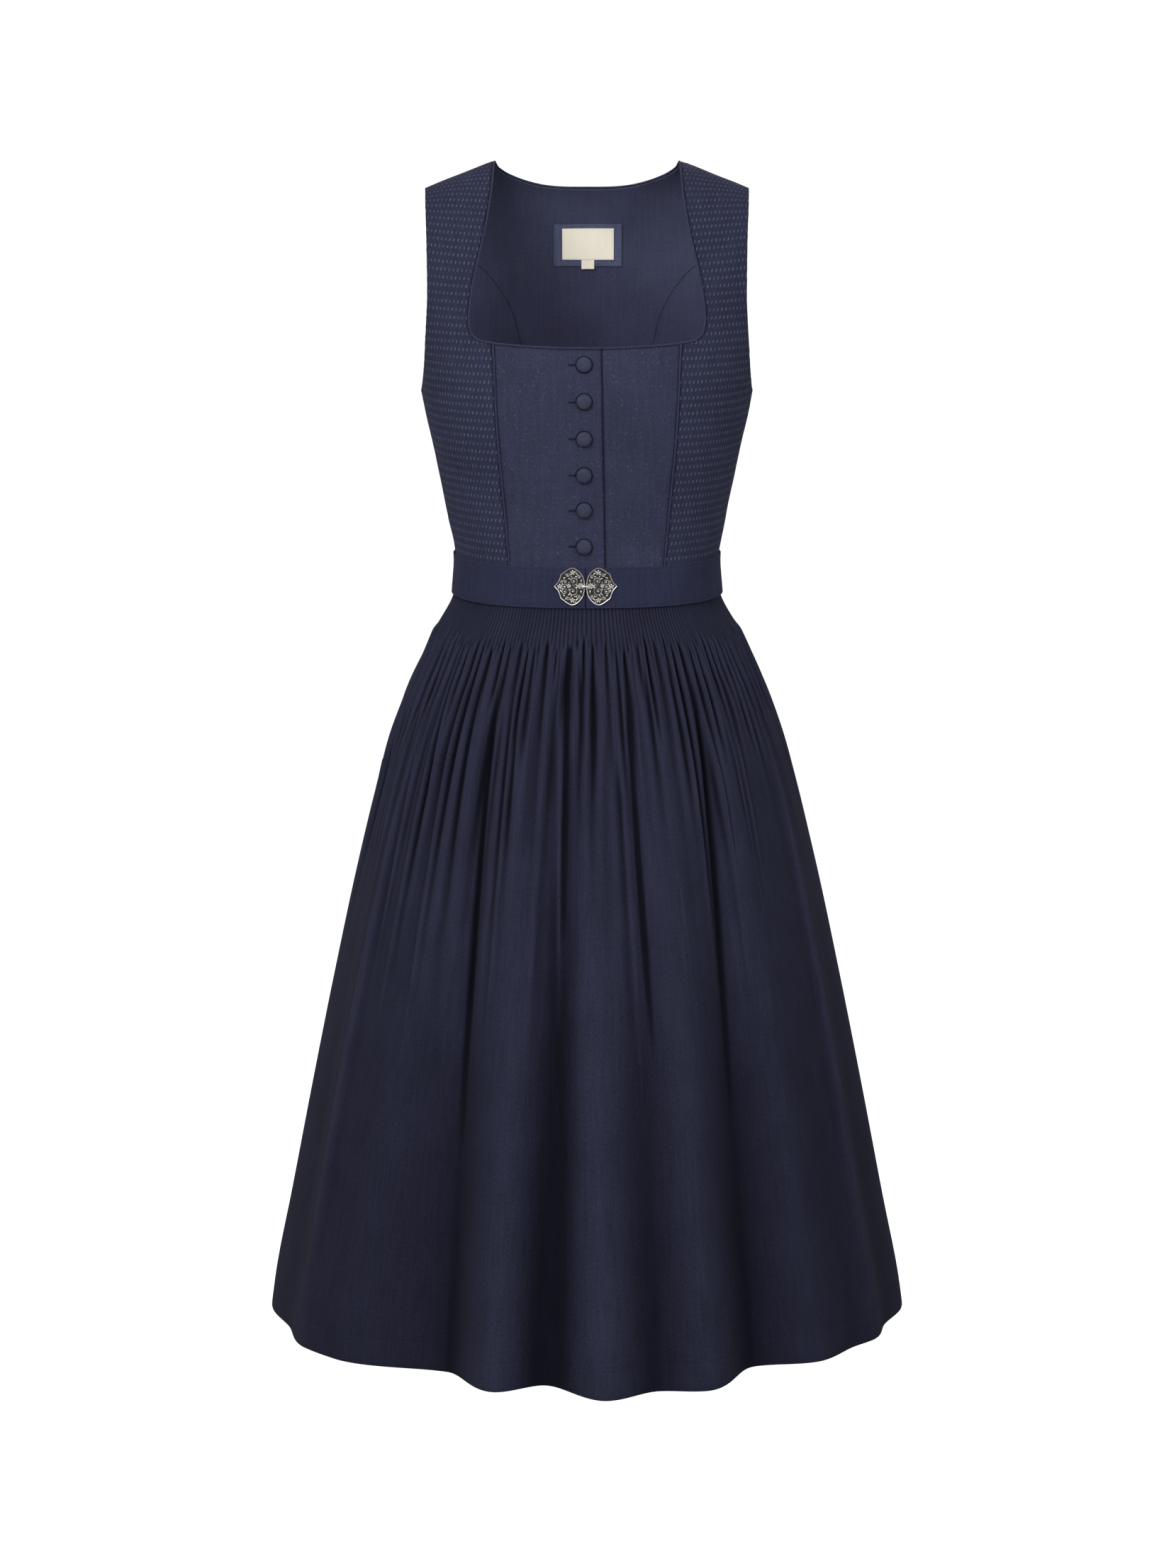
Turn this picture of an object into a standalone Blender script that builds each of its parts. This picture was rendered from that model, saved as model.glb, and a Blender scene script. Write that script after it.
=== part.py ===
# Dirndl: a sleeveless bodice with square neck and straps, a waist belt with a metal clasp and a
# cartridge-pleated skirt, filled out and hollow. Metres, +Z up. The origin is midway between the
# strap tops, where a wearer's shoulders hold it. The front faces -Y and the wearer's left is +X.
import math

import bmesh
import bpy
import numpy as np
from mathutils import Vector

for old in list(bpy.data.objects):
    bpy.data.objects.remove(old, do_unlink=True)

# Cloth and seams
SHELL = 0.0013            # wall of a bodice panel
LINING = 0.0010           # wall of a lining piece
SKIRT_WALL = 0.0015
HEM_WALL = 0.0022         # turned up double at the hem
SEAM_GAP = 0.0003
LAYER_GAP = 0.0004        # between cloth and cloth that lies on it
LABEL_GAP = 0.0006
PATCH = 0.0010
WAIST_Z = -0.4120         # the bodice ends here, under the belt
SKIRT_TOP_Z = WAIST_Z - SEAM_GAP
HEM_Z = -1.1813

# Fastenings
OVERLAP = SHELL + LAYER_GAP
OVERLAP_EDGE = 0.0137     # free edge of the right front at the neck
OVERLAP_LEAN = 0.0185     # how far that edge moves outward for each metre down
UNDER_EDGE_X = -0.0160    # hidden free edge of the left front
EDGE_CLEAR = 0.0016       # from the overlap's edge to the left front's own neck cord
RISE_X = -0.0450          # where the right front starts to rise over the left one
RISE_RUN = 0.0270
SINK_X = 0.0480           # where the left front starts to sink below it at the waist
SINK_RUN = 0.0260
FLATTEN_Z = -0.3300       # the rise turns into the sink from here down
FLATTEN_RUN = 0.0550
BUTTON_X = -0.0028
BUTTON_Z = (-0.1890, -0.2245, -0.2610, -0.2970, -0.3320, -0.3690)
BUTTON_RADIUS = 0.0077
BUTTON_SIDES = 14
BUTTON_SEAT = 0.0005      # its flat back stands this far from the curved cloth
BUTTON_PROFILE = (
    # share of the radius, height
    (0.80, 0.0000), (0.98, 0.0011), (0.97, 0.0025), (0.74, 0.0043), (0.38, 0.0053),
)
BUTTON_TOP = 0.0056
FRONT_CORD = 0.0011       # radius of the cord in each front seam
CORD_SUNK = 0.0004        # its centre below the cloth's face
CORD_UNDER_BELT = 0.0007  # and how much deeper it lies under the belt
CORD_DIVE_Z = -0.3680     # where it starts to go deeper
CORD_DIVE = 0.0200
CORD_STEPS = 14
CORD_TRIM = 0.0002
CORD_SIDES = 6
NECK_CORD = 0.00095
NECK_CORD_SUNK = 0.00045  # its centre below the cloth's face
BELT_TOP = -0.3900
BELT_BOTTOM = -0.4310
BELT_WALL = 0.0014
BELT_SEGMENTS = 72
BELT_OPENING_X = -0.0014
BELT_OPENING = 0.0010
CLASP_Z = -0.4080
CLASP_SEAT = 0.0005       # under the bent plate, which has wider facets than the belt

# The bodice's own form, one row for each station from the front waist over the shoulder to the back
# waist: height, depth on the centre line, half width, fullness of the section, and how much of the
# shoulder's slope it takes.
TORSO = (
    # z, y, half width, fullness, slope
    (-0.4300, -0.1085, 0.1345, 0.22, 0.00),
    (-0.3950, -0.1085, 0.1322, 0.22, 0.00),
    (-0.3524, -0.1105, 0.1396, 0.23, 0.00),
    (-0.3166, -0.1145, 0.1465, 0.24, 0.00),
    (-0.2810, -0.1190, 0.1541, 0.26, 0.00),
    (-0.2454, -0.1228, 0.1616, 0.28, 0.00),
    (-0.2277, -0.1235, 0.1652, 0.28, 0.00),
    (-0.2000, -0.1225, 0.1715, 0.27, 0.00),
    (-0.1700, -0.1188, 0.1790, 0.25, 0.00),
    (-0.1350, -0.1110, 0.1860, 0.22, 0.10),
    (-0.1000, -0.0990, 0.1910, 0.18, 0.30),
    (-0.0650, -0.0820, 0.1930, 0.14, 0.60),
    (-0.0350, -0.0610, 0.1930, 0.10, 0.85),
    (-0.0100, -0.0330, 0.1930, 0.06, 1.00),
    (0.0000, 0.0000, 0.1930, 0.06, 1.00),
    (-0.0090, 0.0330, 0.1930, 0.06, 1.00),
    (-0.0320, 0.0620, 0.1930, 0.10, 0.85),
    (-0.0650, 0.0810, 0.1930, 0.14, 0.60),
    (-0.1000, 0.0925, 0.1910, 0.18, 0.30),
    (-0.1350, 0.0990, 0.1860, 0.20, 0.10),
    (-0.1700, 0.1015, 0.1790, 0.22, 0.00),
    (-0.2000, 0.1015, 0.1715, 0.22, 0.00),
    (-0.2277, 0.1000, 0.1652, 0.22, 0.00),
    (-0.2454, 0.0985, 0.1616, 0.22, 0.00),
    (-0.2810, 0.0950, 0.1541, 0.20, 0.00),
    (-0.3166, 0.0910, 0.1465, 0.18, 0.00),
    (-0.3524, 0.0875, 0.1396, 0.16, 0.00),
    (-0.3950, 0.0850, 0.1322, 0.15, 0.00),
    (-0.4300, 0.0850, 0.1345, 0.15, 0.00),
)
SHOULDER_ROW = 14
NECK_X = 0.0925           # the strap's inner edge on the shoulder
STRAP_X = 0.1600          # its outer edge there
SHOULDER_SLOPE = 0.41
SIDE = 9.0                # stands for the side seam in a column of x

# Front neckline between the piped seams: its lowest height and how it rises towards them
NECK_FRONT_Z = -0.1743
NECK_FRONT_RISE = 0.46

# Piped front seam, from the neck edge to the waist
FRONT_SEAM = (
    # z, x
    (-0.1704, 0.0915), (-0.1950, 0.0903), (-0.2300, 0.0890), (-0.2650, 0.0870),
    (-0.3000, 0.0840), (-0.3380, 0.0807), (-0.3760, 0.0777), (WAIST_Z, 0.0755),
)

# Side front with its strap: a row for each section across the piece, from the shoulder down. The
# inner end lies on the neck edge, the outer end on the armhole and then on the side seam.
SIDE_FRONT_STRAP = (
    # inner x, inner z, outer x, outer z
    (NECK_X, 0.0, STRAP_X, 0.0),
    (0.0940, -0.0180, 0.1594, -0.0410),
    (0.0962, -0.0365, 0.1586, -0.0570),
    (0.1000, -0.0590, 0.1577, -0.0740),
    (0.1049, -0.0800, 0.1571, -0.0900),
    (0.1095, -0.1000, 0.1568, -0.1060),
    (0.1135, -0.1200, 0.1568, -0.1220),
    (0.1158, -0.1400, 0.1571, -0.1360),
    (0.1160, -0.1510, 0.1576, -0.1480),
    (0.1135, -0.1610, 0.1582, -0.1600),
    (0.1068, -0.1674, 0.1590, -0.1730),
    (0.0990, -0.1694, 0.1600, -0.1880),
)
# Below the strap the inner end is on the piped seam
SIDE_FRONT_BODY = (
    # seam z, outer x, outer z
    (-0.1704, 0.1616, -0.2040), (-0.1830, 0.1631, -0.2165), (-0.1980, 0.1645, -0.2245),
    (-0.2160, SIDE, -0.2280), (-0.2370, SIDE, -0.2530), (-0.2610, SIDE, -0.2780),
    (-0.2870, SIDE, -0.3040), (-0.3200, SIDE, -0.3330), (-0.3560, SIDE, -0.3620),
    (BELT_TOP, SIDE, BELT_TOP), (WAIST_Z, SIDE, WAIST_Z),
)

# Upper centre back: a row for each section from the neck edge to the armhole, to the curved back
# seam, and then to the line where the plain lower part begins. It runs from the shoulder to the
# centre line.
YOKE = (
    # neck x, neck z, edge x, edge z
    (NECK_X, 0.0, STRAP_X, 0.0),
    (0.0917, -0.0040, 0.1586, -0.0500),
    (0.0890, -0.0095, 0.1568, -0.0990),
    (0.0820, -0.0153, 0.1300, -0.1045),
    (0.0720, -0.0207, 0.1085, -0.1130),
    (0.0600, -0.0254, 0.0880, -0.1370),
    (0.0470, -0.0290, 0.0745, -0.1630),
    (0.0350, -0.0309, 0.0673, -0.1920),
    (0.0230, -0.0318, 0.0449, -0.1920),
    (0.0115, -0.0320, 0.0224, -0.1920),
    (0.0000, -0.0320, 0.0000, -0.1920),
)
YOKE_DIVISIONS = 6
ARMHOLE_ROW = 2           # rows of the yoke where the curved seam starts and ends
YOKE_CORNER_ROW = 7

# Lower half of the curved back seam
BACK_SEAM = (
    # z, x
    (-0.1920, 0.0673), (-0.2030, 0.0652), (-0.2150, 0.0631), (-0.2450, 0.0582),
    (-0.2850, 0.0515), (-0.3250, 0.0478), (-0.3620, 0.0461), (BELT_TOP, 0.0453),
    (WAIST_Z, 0.0450),
)

# Where each node of the curved back seam is joined across the side back: armhole, then side seam
SIDE_BACK_EDGE = (
    # edge x, edge z
    (0.1568, -0.0990), (0.1566, -0.1200), (0.1570, -0.1400), (0.1580, -0.1620),
    (0.1597, -0.1860), (0.1617, -0.2060), (0.1640, -0.2220), (SIDE, -0.2280),
    (SIDE, -0.2560), (SIDE, -0.2910), (SIDE, -0.3280), (SIDE, -0.3620),
    (SIDE, BELT_TOP), (SIDE, WAIST_Z),
)
PANEL_DIVISIONS = 5       # across a side front or a side back
BACK_DIVISIONS = 6        # across the lower centre back

# Label on the back lining: left, right, top and bottom of each piece
PATCH_BOX = (-0.0338, 0.0352, -0.0685, -0.1120)
LABEL_BOX = (-0.0252, 0.0272, -0.0725, -0.1048)
TAB_BOX = (-0.0057, 0.0073, -0.1052, -0.1146)
PATCH_STEP = 0.012        # between the nodes of these pieces

# Outline of one half of the clasp, upper half: distance from the belt's opening and from its middle
CLASP_OUTLINE = (
    # out, up
    (0.0004, 0.0000), (0.0009, 0.0050), (0.0021, 0.0095), (0.0052, 0.0143), (0.0090, 0.0176),
    (0.0134, 0.0188), (0.0170, 0.0174), (0.0212, 0.0144), (0.0244, 0.0118), (0.0255, 0.0085),
    (0.0269, 0.0050), (0.0312, 0.0000),
)
CLASP_PLATE = 0.0016
CLASP_RIM = 0.0014        # width of the raised rim
CLASP_BEVEL = 0.0005      # width of its slope down to the ground
CLASP_GROUND = 0.0011
CLASP_MIDDLE = (0.0146, 0.0)
PETAL_REACH = 0.48        # share of the ground that the rosette covers
PETAL_RISE = 0.0006
PETAL_SINK = 0.0001
ROSETTE_RISE = 0.0004
HOOK_HALF = (0.0027, 0.0011, 0.0017)
HOOK_SHIFT = 0.0006

# The skirt's sections from its top to the hem: height, half width, points in half the outer ring
# and in half the inner ring, wall.
SKIRT = (
    # z, half width, outer points, inner points, wall
    (SKIRT_TOP_Z, 0.1320, 50, 50, 0.0013),
    (-0.4310, 0.1334, 200, 50, 0.0014),
    (-0.4680, 0.1523, 200, 50, 0.0014),
    (-0.4880, 0.1618, 100, 100, SKIRT_WALL),
    (-0.5200, 0.1772, 100, 100, SKIRT_WALL),
    (-0.5650, 0.1945, 100, 100, SKIRT_WALL),
    (-0.6250, 0.2125, 100, 100, SKIRT_WALL),
    (-0.7100, 0.2335, 80, 80, SKIRT_WALL),
    (-0.8200, 0.2575, 64, 64, SKIRT_WALL),
    (-0.9400, 0.2820, 64, 64, SKIRT_WALL),
    (-1.0600, 0.3055, 64, 64, SKIRT_WALL),
    (-1.1530, 0.3240, 64, 64, SKIRT_WALL),
    (HEM_Z, 0.3279, 64, 64, HEM_WALL),
)
WAIST_HALF_WIDTH = 0.1334
HEM_HALF_WIDTH = 0.3279
# Depth at the waist and at the hem, and fullness of the section at the waist; it is 0 at the hem
SKIRT_DEPTHS = {"front": (0.1076, 0.2640, 0.22), "back": (0.0841, 0.2600, 0.15)}

# Pleats and the folds that they merge into, each family half as many as the one above it: how many
# round the whole skirt, the angle of one valley, the heights between which it grows, the height
# below which it is gone, and its height from the middle.
WAVES = (
    # count, valley, starts, full, gone, height
    (200, 0.0, -0.4130, -0.4250, -0.4880, 0.00045),
    (100, 0.0, -0.4660, -0.4900, -0.5900, 0.0017),
    (50, 3.6, -0.4800, -0.5500, -0.7800, 0.0032),
    (25, 3.6, -0.5400, -0.6700, -1.0400, 0.0050),
)

# The largest folds, ridge and valley in turn, angles from the front centre towards +X: at the
# waist, at the hem, and how far it stands out at the hem.
FOLDS = (
    # waist angle, hem angle, stand out
    (-90.0, -90.0, 0.000), (-74.0, -74.0, -0.009), (-61.0, -59.0, 0.006), (-45.0, -50.0, 0.005),
    (-31.0, -27.0, -0.023), (-17.0, -15.7, 0.021), (-6.0, -7.4, -0.007), (1.0, 3.0, 0.037),
    (13.0, 12.0, 0.014), (20.0, 20.0, 0.024), (35.0, 33.0, -0.026), (44.0, 47.0, -0.002),
    (55.0, 57.0, -0.008), (66.0, 65.0, -0.003), (76.0, 75.0, -0.011), (90.0, 90.0, 0.000),
    (101.0, 102.0, -0.010), (113.0, 115.0, 0.008), (126.0, 128.0, -0.018), (140.0, 142.0, 0.020),
    (151.0, 152.0, -0.006), (161.0, 161.0, 0.024), (172.0, 171.0, 0.002), (181.0, 182.0, 0.032),
    (194.0, 193.0, -0.012), (206.0, 207.0, 0.020), (221.0, 219.0, -0.022), (236.0, 235.0, 0.010),
    (250.0, 250.0, -0.008), (260.0, 261.0, 0.003), (270.0, 270.0, 0.000),
)
FOLDS_START = -0.4700

# Single creases between them: angle at the upper and the lower end, the heights of those ends,
# how far it stands out, negative for a trough, and its half width in degrees.
CREASES = (
    # top angle, low angle, top z, low z, stand out, half width
    (-31.0, -27.0, -0.480, -0.980, -0.0080, 2.6),
    (-6.5, -5.6, -0.470, -0.760, -0.0050, 2.0),
    (12.5, 14.0, -0.480, -0.880, -0.0055, 2.2),
    (38.0, 32.0, -0.480, -0.960, -0.0065, 2.6),
    (-60.0, -62.0, -0.560, -1.180, 0.0045, 2.2),
    (66.0, 65.0, -0.530, -1.180, 0.0045, 2.2),
    (128.0, 127.0, -0.490, -0.940, -0.0070, 2.6),
    (153.0, 152.0, -0.480, -0.860, -0.0055, 2.2),
    (173.0, 171.0, -0.475, -0.800, -0.0050, 2.0),
    (196.0, 193.0, -0.480, -0.970, -0.0070, 2.6),
    (222.0, 219.0, -0.490, -0.900, -0.0060, 2.4),
    (113.0, 115.0, -0.560, -1.180, 0.0040, 2.2),
    (246.0, 246.0, -0.560, -1.180, 0.0040, 2.2),
)


# Materials

def material(name, colour, roughness, metallic=0.0):
    """Plain surface of one colour, named after its object."""
    made = bpy.data.materials.new(name)
    made.use_nodes = True
    surface = made.node_tree.nodes["Principled BSDF"]
    surface.inputs["Base Color"].default_value = (*colour, 1.0)
    surface.inputs["Roughness"].default_value = roughness
    surface.inputs["Metallic"].default_value = metallic
    return made


BODICE_NAVY = (0.040, 0.044, 0.080)
LINING_NAVY = (0.027, 0.029, 0.055)
BELT_NAVY = (0.029, 0.031, 0.060)
SKIRT_NAVY = (0.019, 0.020, 0.038)
PATCH_NAVY = (0.060, 0.068, 0.108)
LABEL_CREAM = (0.87, 0.83, 0.69)
OLD_SILVER = (0.42, 0.41, 0.40)


def add_object(name, bm, colour, roughness, metallic=0.0, sharp=50.0):
    """Turns a closed bmesh into a named object, faces outwards, smooth but for its edges."""
    bmesh.ops.recalc_face_normals(bm, faces=bm.faces)
    if bm.calc_volume(signed=True) < 0.0:
        bmesh.ops.reverse_faces(bm, faces=bm.faces)
    mesh = bpy.data.meshes.new(name)
    bm.to_mesh(mesh)
    bm.free()
    mesh.shade_smooth()
    mesh.set_sharp_from_angle(angle=math.radians(sharp))
    mesh.materials.append(material(name, colour, roughness, metallic))
    made = bpy.data.objects.new(name, mesh)
    bpy.context.collection.objects.link(made)
    return made


# The bodice's form

class Curve:
    """A smooth curve through the values of one column."""

    def __init__(self, knots, values):
        self.knots = np.asarray(knots, float)
        self.values = np.asarray(values, float)
        width = np.diff(self.knots)
        rise = np.diff(self.values) / width
        self.slopes = np.empty(len(self.knots))
        self.slopes[0] = rise[0]
        self.slopes[-1] = rise[-1]
        self.slopes[1:-1] = (rise[1:] * width[:-1] + rise[:-1] * width[1:]) / (width[1:] + width[:-1])

    def __call__(self, at):
        i = int(np.clip(np.searchsorted(self.knots, at) - 1, 0, len(self.knots) - 2))
        width = self.knots[i + 1] - self.knots[i]
        t = (at - self.knots[i]) / width
        start = self.values[i] * (1 + 2 * t) + self.slopes[i] * width * t
        end = self.values[i + 1] * (3 - 2 * t) + self.slopes[i + 1] * width * (t - 1)
        return start * (1 - t) ** 2 + end * t * t


def columns(table):
    return np.array(table, float).T


torso_z, torso_y, torso_half, torso_full, torso_slope = columns(TORSO)
walked = np.concatenate([[0.0], np.cumsum(np.hypot(np.diff(torso_z), np.diff(torso_y)))])
walked -= walked[SHOULDER_ROW]      # zero on the shoulder, negative down the front, positive down the back
HEIGHT, DEPTH, HALF, FULL, SLOPE = (
    Curve(walked, values) for values in (torso_z, torso_y, torso_half, torso_full, torso_slope)
)


def torso(s, angle):
    """Point of the bodice's outer face at a distance s along the centre line and an angle round it."""
    x = HALF(s) * math.sin(angle)
    y = DEPTH(s) * math.cos(angle) * (1.0 + FULL(s) * math.sin(angle) ** 2)
    drop = SHOULDER_SLOPE * SLOPE(s) * max(0.0, abs(x) - NECK_X)
    return Vector((x, y, HEIGHT(s) - drop))


def torso_normal(s, angle):
    step = 0.0005
    along = torso(s + step, angle) - torso(s - step, angle)
    around = torso(s, angle + step) - torso(s, angle - step)
    return around.cross(along).normalized()


def node(side, x, z):
    """The place on the front or the back where a seam passes (x, z)."""
    sign = -1.0 if side == "front" else 1.0
    end = abs(walked[0] if side == "front" else walked[-1])
    low, high = 0.0, end
    if z >= 0.0:
        s = 0.0
    else:
        reach = 0.0 if abs(x) == SIDE else abs(x)
        for _ in range(40):
            middle = 0.5 * (low + high)
            drop = SHOULDER_SLOPE * SLOPE(sign * middle) * max(0.0, reach - NECK_X)
            if HEIGHT(sign * middle) - drop > z:
                low = middle
            else:
                high = middle
        s = sign * 0.5 * (low + high)
    if abs(x) == SIDE:
        return s, math.copysign(math.pi / 2, x)
    return s, math.asin(max(-1.0, min(1.0, x / HALF(s))))


def mirrored(place):
    return place[0], -place[1]


def between(start, end, count):
    """Places on the straight run from start to end, both kept."""
    return [
        (start[0] + (end[0] - start[0]) * k / count, start[1] + (end[1] - start[1]) * k / count)
        for k in range(count + 1)
    ]


def no_lift(x, z):
    return 0.0


def cloth_point(place, depth, lift=no_lift):
    point = torso(*place)
    return point + torso_normal(*place) * (lift(point.x, point.z) - depth)


def inward_shift(points, normals, faces, trim):
    """Moves the edge nodes of a panel into it, so that two panels stay apart at their seam."""
    edges = {}
    for face in faces:
        for a, b in zip(face, face[1:] + face[:1]):
            edges[(a, b)] = True
    border = [(a, b) for a, b in edges if (b, a) not in edges]
    inward = {}
    for a, b in border:
        normal = (normals[a] + normals[b]).normalized()
        direction = normal.cross(points[b] - points[a]).normalized()
        inward.setdefault(a, []).append(direction)
        inward.setdefault(b, []).append(direction)
    shift = {}
    for i, directions in inward.items():
        total = sum(directions, Vector())
        shift[i] = total * (trim / (1.0 + directions[0].dot(directions[-1])))
    return shift, border


def cloth_wall(name, grids, outer_depth, inner_depth, colour, roughness, lift=no_lift):
    """A closed cloth wall through the nodes of one or more grids that share their common nodes."""
    index = {}
    places = []
    faces = []

    def number(place):
        key = (round(place[0], 6), round(place[1], 6))
        if key not in index:
            index[key] = len(places)
            places.append(place)
        return index[key]

    for grid in grids:
        for upper, lower in zip(grid, grid[1:]):
            for k in range(len(upper) - 1):
                ring = [number(p) for p in (upper[k], upper[k + 1], lower[k + 1], lower[k])]
                corners = [torso(*places[i]) for i in ring]
                if (corners[3] - corners[1]).length < (corners[2] - corners[0]).length:
                    ring = ring[1:] + ring[:1]
                for triangle in ((ring[0], ring[1], ring[2]), (ring[0], ring[2], ring[3])):
                    if len(set(triangle)) == 3:
                        faces.append(triangle)
    normals = [torso_normal(*place) for place in places]
    outer = [cloth_point(place, outer_depth, lift) for place in places]
    inner = [cloth_point(place, inner_depth, lift) for place in places]
    for k, (a, b, c) in enumerate(faces):
        if (outer[b] - outer[a]).cross(outer[c] - outer[a]).dot(normals[a]) < 0.0:
            faces[k] = (c, b, a)
    shift, border = inward_shift(outer, normals, faces, SEAM_GAP / 2)
    for i, move in shift.items():
        outer[i] = outer[i] + move
        inner[i] = inner[i] + move
    bm = bmesh.new()
    outside = [bm.verts.new(p) for p in outer]
    inside = [bm.verts.new(p) for p in inner]
    for a, b, c in faces:
        bm.faces.new((outside[a], outside[b], outside[c]))
        bm.faces.new((inside[c], inside[b], inside[a]))
    for a, b in border:
        bm.faces.new((outside[b], outside[a], inside[a]))
        bm.faces.new((outside[b], inside[a], inside[b]))
    return add_object(name, bm, colour, roughness)


# Bodice panels

front_seam_z, front_seam_x = columns(FRONT_SEAM)
FRONT_SEAM_X = Curve(-front_seam_z, front_seam_x)


def eased(t):
    t = max(0.0, min(1.0, t))
    return t * t * (3.0 - 2.0 * t)


def layered(z):
    """Goes from 0 to 1 where the two fronts sink in to pass flat under the belt."""
    return eased((FLATTEN_Z - z) / FLATTEN_RUN)


def over_lift(x, z):
    """The right front rises over the left one."""
    return OVERLAP * eased((x - RISE_X) / RISE_RUN) * (1.0 - layered(z))


def under_lift(x, z):
    """The left front sinks under the right one, at the waist only."""
    return -OVERLAP * eased((SINK_X - x) / SINK_RUN) * layered(z)


def neck_front(x):
    return NECK_FRONT_Z + NECK_FRONT_RISE * x * x


def overlap_edge(z):
    return OVERLAP_EDGE + OVERLAP_LEAN * (NECK_FRONT_Z - z)


PIPED_EDGE = FRONT_CORD + SEAM_GAP / 2    # from the seam line to a panel's edge, before it is trimmed
FRONT_LEVELS = (NECK_FRONT_Z, -0.2030, -0.2320, -0.2620, -0.2920, -0.3220, -0.3520, -0.3720, BELT_TOP, WAIST_Z)


def front_grid(column_x):
    """Rows from the neck edge to the waist; column_x(z) lists the columns at a height."""
    grid = []
    for level in FRONT_LEVELS:
        t = (NECK_FRONT_Z - level) / (NECK_FRONT_Z - WAIST_Z)
        line = []
        for x in column_x(level):
            z = neck_front(x) * (1.0 - t) + WAIST_Z * t
            line.append(node("front", x, z))
        grid.append(line)
    return grid


def right_columns(z):
    seam = PIPED_EDGE - FRONT_SEAM_X(-z)
    return (seam, 0.5 * (seam + RISE_X), RISE_X, RISE_X + RISE_RUN / 2, RISE_X + RISE_RUN, 0.0, overlap_edge(z))


def left_columns(z):
    seam = FRONT_SEAM_X(-z) - PIPED_EDGE
    clear = overlap_edge(z) + EDGE_CLEAR
    return (UNDER_EDGE_X, 0.0, clear, SINK_X - SINK_RUN / 2, SINK_X, 0.5 * (seam + SINK_X), seam)


RIGHT_FRONT = front_grid(right_columns)
LEFT_FRONT = front_grid(left_columns)
cloth_wall("front_right", [RIGHT_FRONT], 0.0, SHELL, BODICE_NAVY, 0.75, over_lift)
cloth_wall("front_left", [LEFT_FRONT], 0.0, SHELL, BODICE_NAVY, 0.75, under_lift)


def side_front_grid():
    grid = []
    for inner_x, inner_z, outer_x, outer_z in SIDE_FRONT_STRAP:
        grid.append(between(node("front", inner_x, inner_z), node("front", outer_x, outer_z), PANEL_DIVISIONS))
    for seam_z, outer_x, outer_z in SIDE_FRONT_BODY:
        start = node("front", FRONT_SEAM_X(-seam_z) + PIPED_EDGE, seam_z)
        grid.append(between(start, node("front", outer_x, outer_z), PANEL_DIVISIONS))
    return grid


SIDE_FRONT = side_front_grid()


def mirror_grid(grid):
    return [[mirrored(place) for place in line] for line in grid]


cloth_wall("side_front_left", [SIDE_FRONT], 0.0, SHELL, BODICE_NAVY, 0.75)
cloth_wall("side_front_right", [mirror_grid(SIDE_FRONT)], 0.0, SHELL, BODICE_NAVY, 0.75)


def yoke_grid():
    """Lines from the neck edge outwards, from the left shoulder round to the right one."""
    half = []
    for neck_x, neck_z, edge_x, edge_z in YOKE:
        half.append(between(node("back", neck_x, neck_z), node("back", edge_x, edge_z), YOKE_DIVISIONS))
    return half + mirror_grid(half[-2::-1])


def lower_back_grid(top_line):
    """Rows from the yoke's lower line to the waist, between the two curved seams."""
    grid = [top_line]
    for z, x in BACK_SEAM[1:]:
        grid.append([node("back", x * (1 - 2 * k / BACK_DIVISIONS), z) for k in range(BACK_DIVISIONS + 1)])
    return grid


YOKE_LINES = yoke_grid()
YOKE_LOW = [line[-1] for line in YOKE_LINES[YOKE_CORNER_ROW:len(YOKE_LINES) - YOKE_CORNER_ROW]]
CENTRE_BACK = [YOKE_LINES, lower_back_grid(YOKE_LOW)]


def side_back_grid():
    seam = [(x, z) for _, _, x, z in YOKE[ARMHOLE_ROW:YOKE_CORNER_ROW]] + [(x, z) for z, x in BACK_SEAM]
    return [
        between(node("back", *inner), node("back", *outer), PANEL_DIVISIONS)
        for inner, outer in zip(seam, SIDE_BACK_EDGE)
    ]


SIDE_BACK = side_back_grid()
LINING_OUT = SHELL + SEAM_GAP
LINING_IN = LINING_OUT + LINING
cloth_wall("back_center", CENTRE_BACK, 0.0, SHELL, BODICE_NAVY, 0.75)
cloth_wall("back_side_left", [SIDE_BACK], 0.0, SHELL, BODICE_NAVY, 0.75)
cloth_wall("back_side_right", [mirror_grid(SIDE_BACK)], 0.0, SHELL, BODICE_NAVY, 0.75)
cloth_wall("lining_back_center", CENTRE_BACK, LINING_OUT, LINING_IN, LINING_NAVY, 0.65)
cloth_wall("lining_back_side_left", [SIDE_BACK], LINING_OUT, LINING_IN, LINING_NAVY, 0.65)
cloth_wall("lining_back_side_right", [mirror_grid(SIDE_BACK)], LINING_OUT, LINING_IN, LINING_NAVY, 0.65)


# Cords

def tube(name, centres, ups, radius, colour, roughness):
    """A closed cord with flat ends. ups gives the cloth's normal at each centre."""
    bm = bmesh.new()
    rings = []
    last = len(centres) - 1
    for k, (centre, up) in enumerate(zip(centres, ups)):
        along = (centres[min(k + 1, last)] - centres[max(k - 1, 0)]).normalized()
        side = along.cross(up).normalized()
        top = side.cross(along)
        ring = []
        for j in range(CORD_SIDES):
            turn = 2 * math.pi * j / CORD_SIDES
            ring.append(bm.verts.new(centre + (side * math.cos(turn) + top * math.sin(turn)) * radius))
        rings.append(ring)
    for first, second in zip(rings, rings[1:]):
        for j in range(CORD_SIDES):
            n = (j + 1) % CORD_SIDES
            bm.faces.new((first[j], first[n], second[n], second[j]))
    bm.faces.new(rings[0])
    bm.faces.new(rings[-1])
    return add_object(name, bm, colour, roughness, sharp=70.0)


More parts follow.
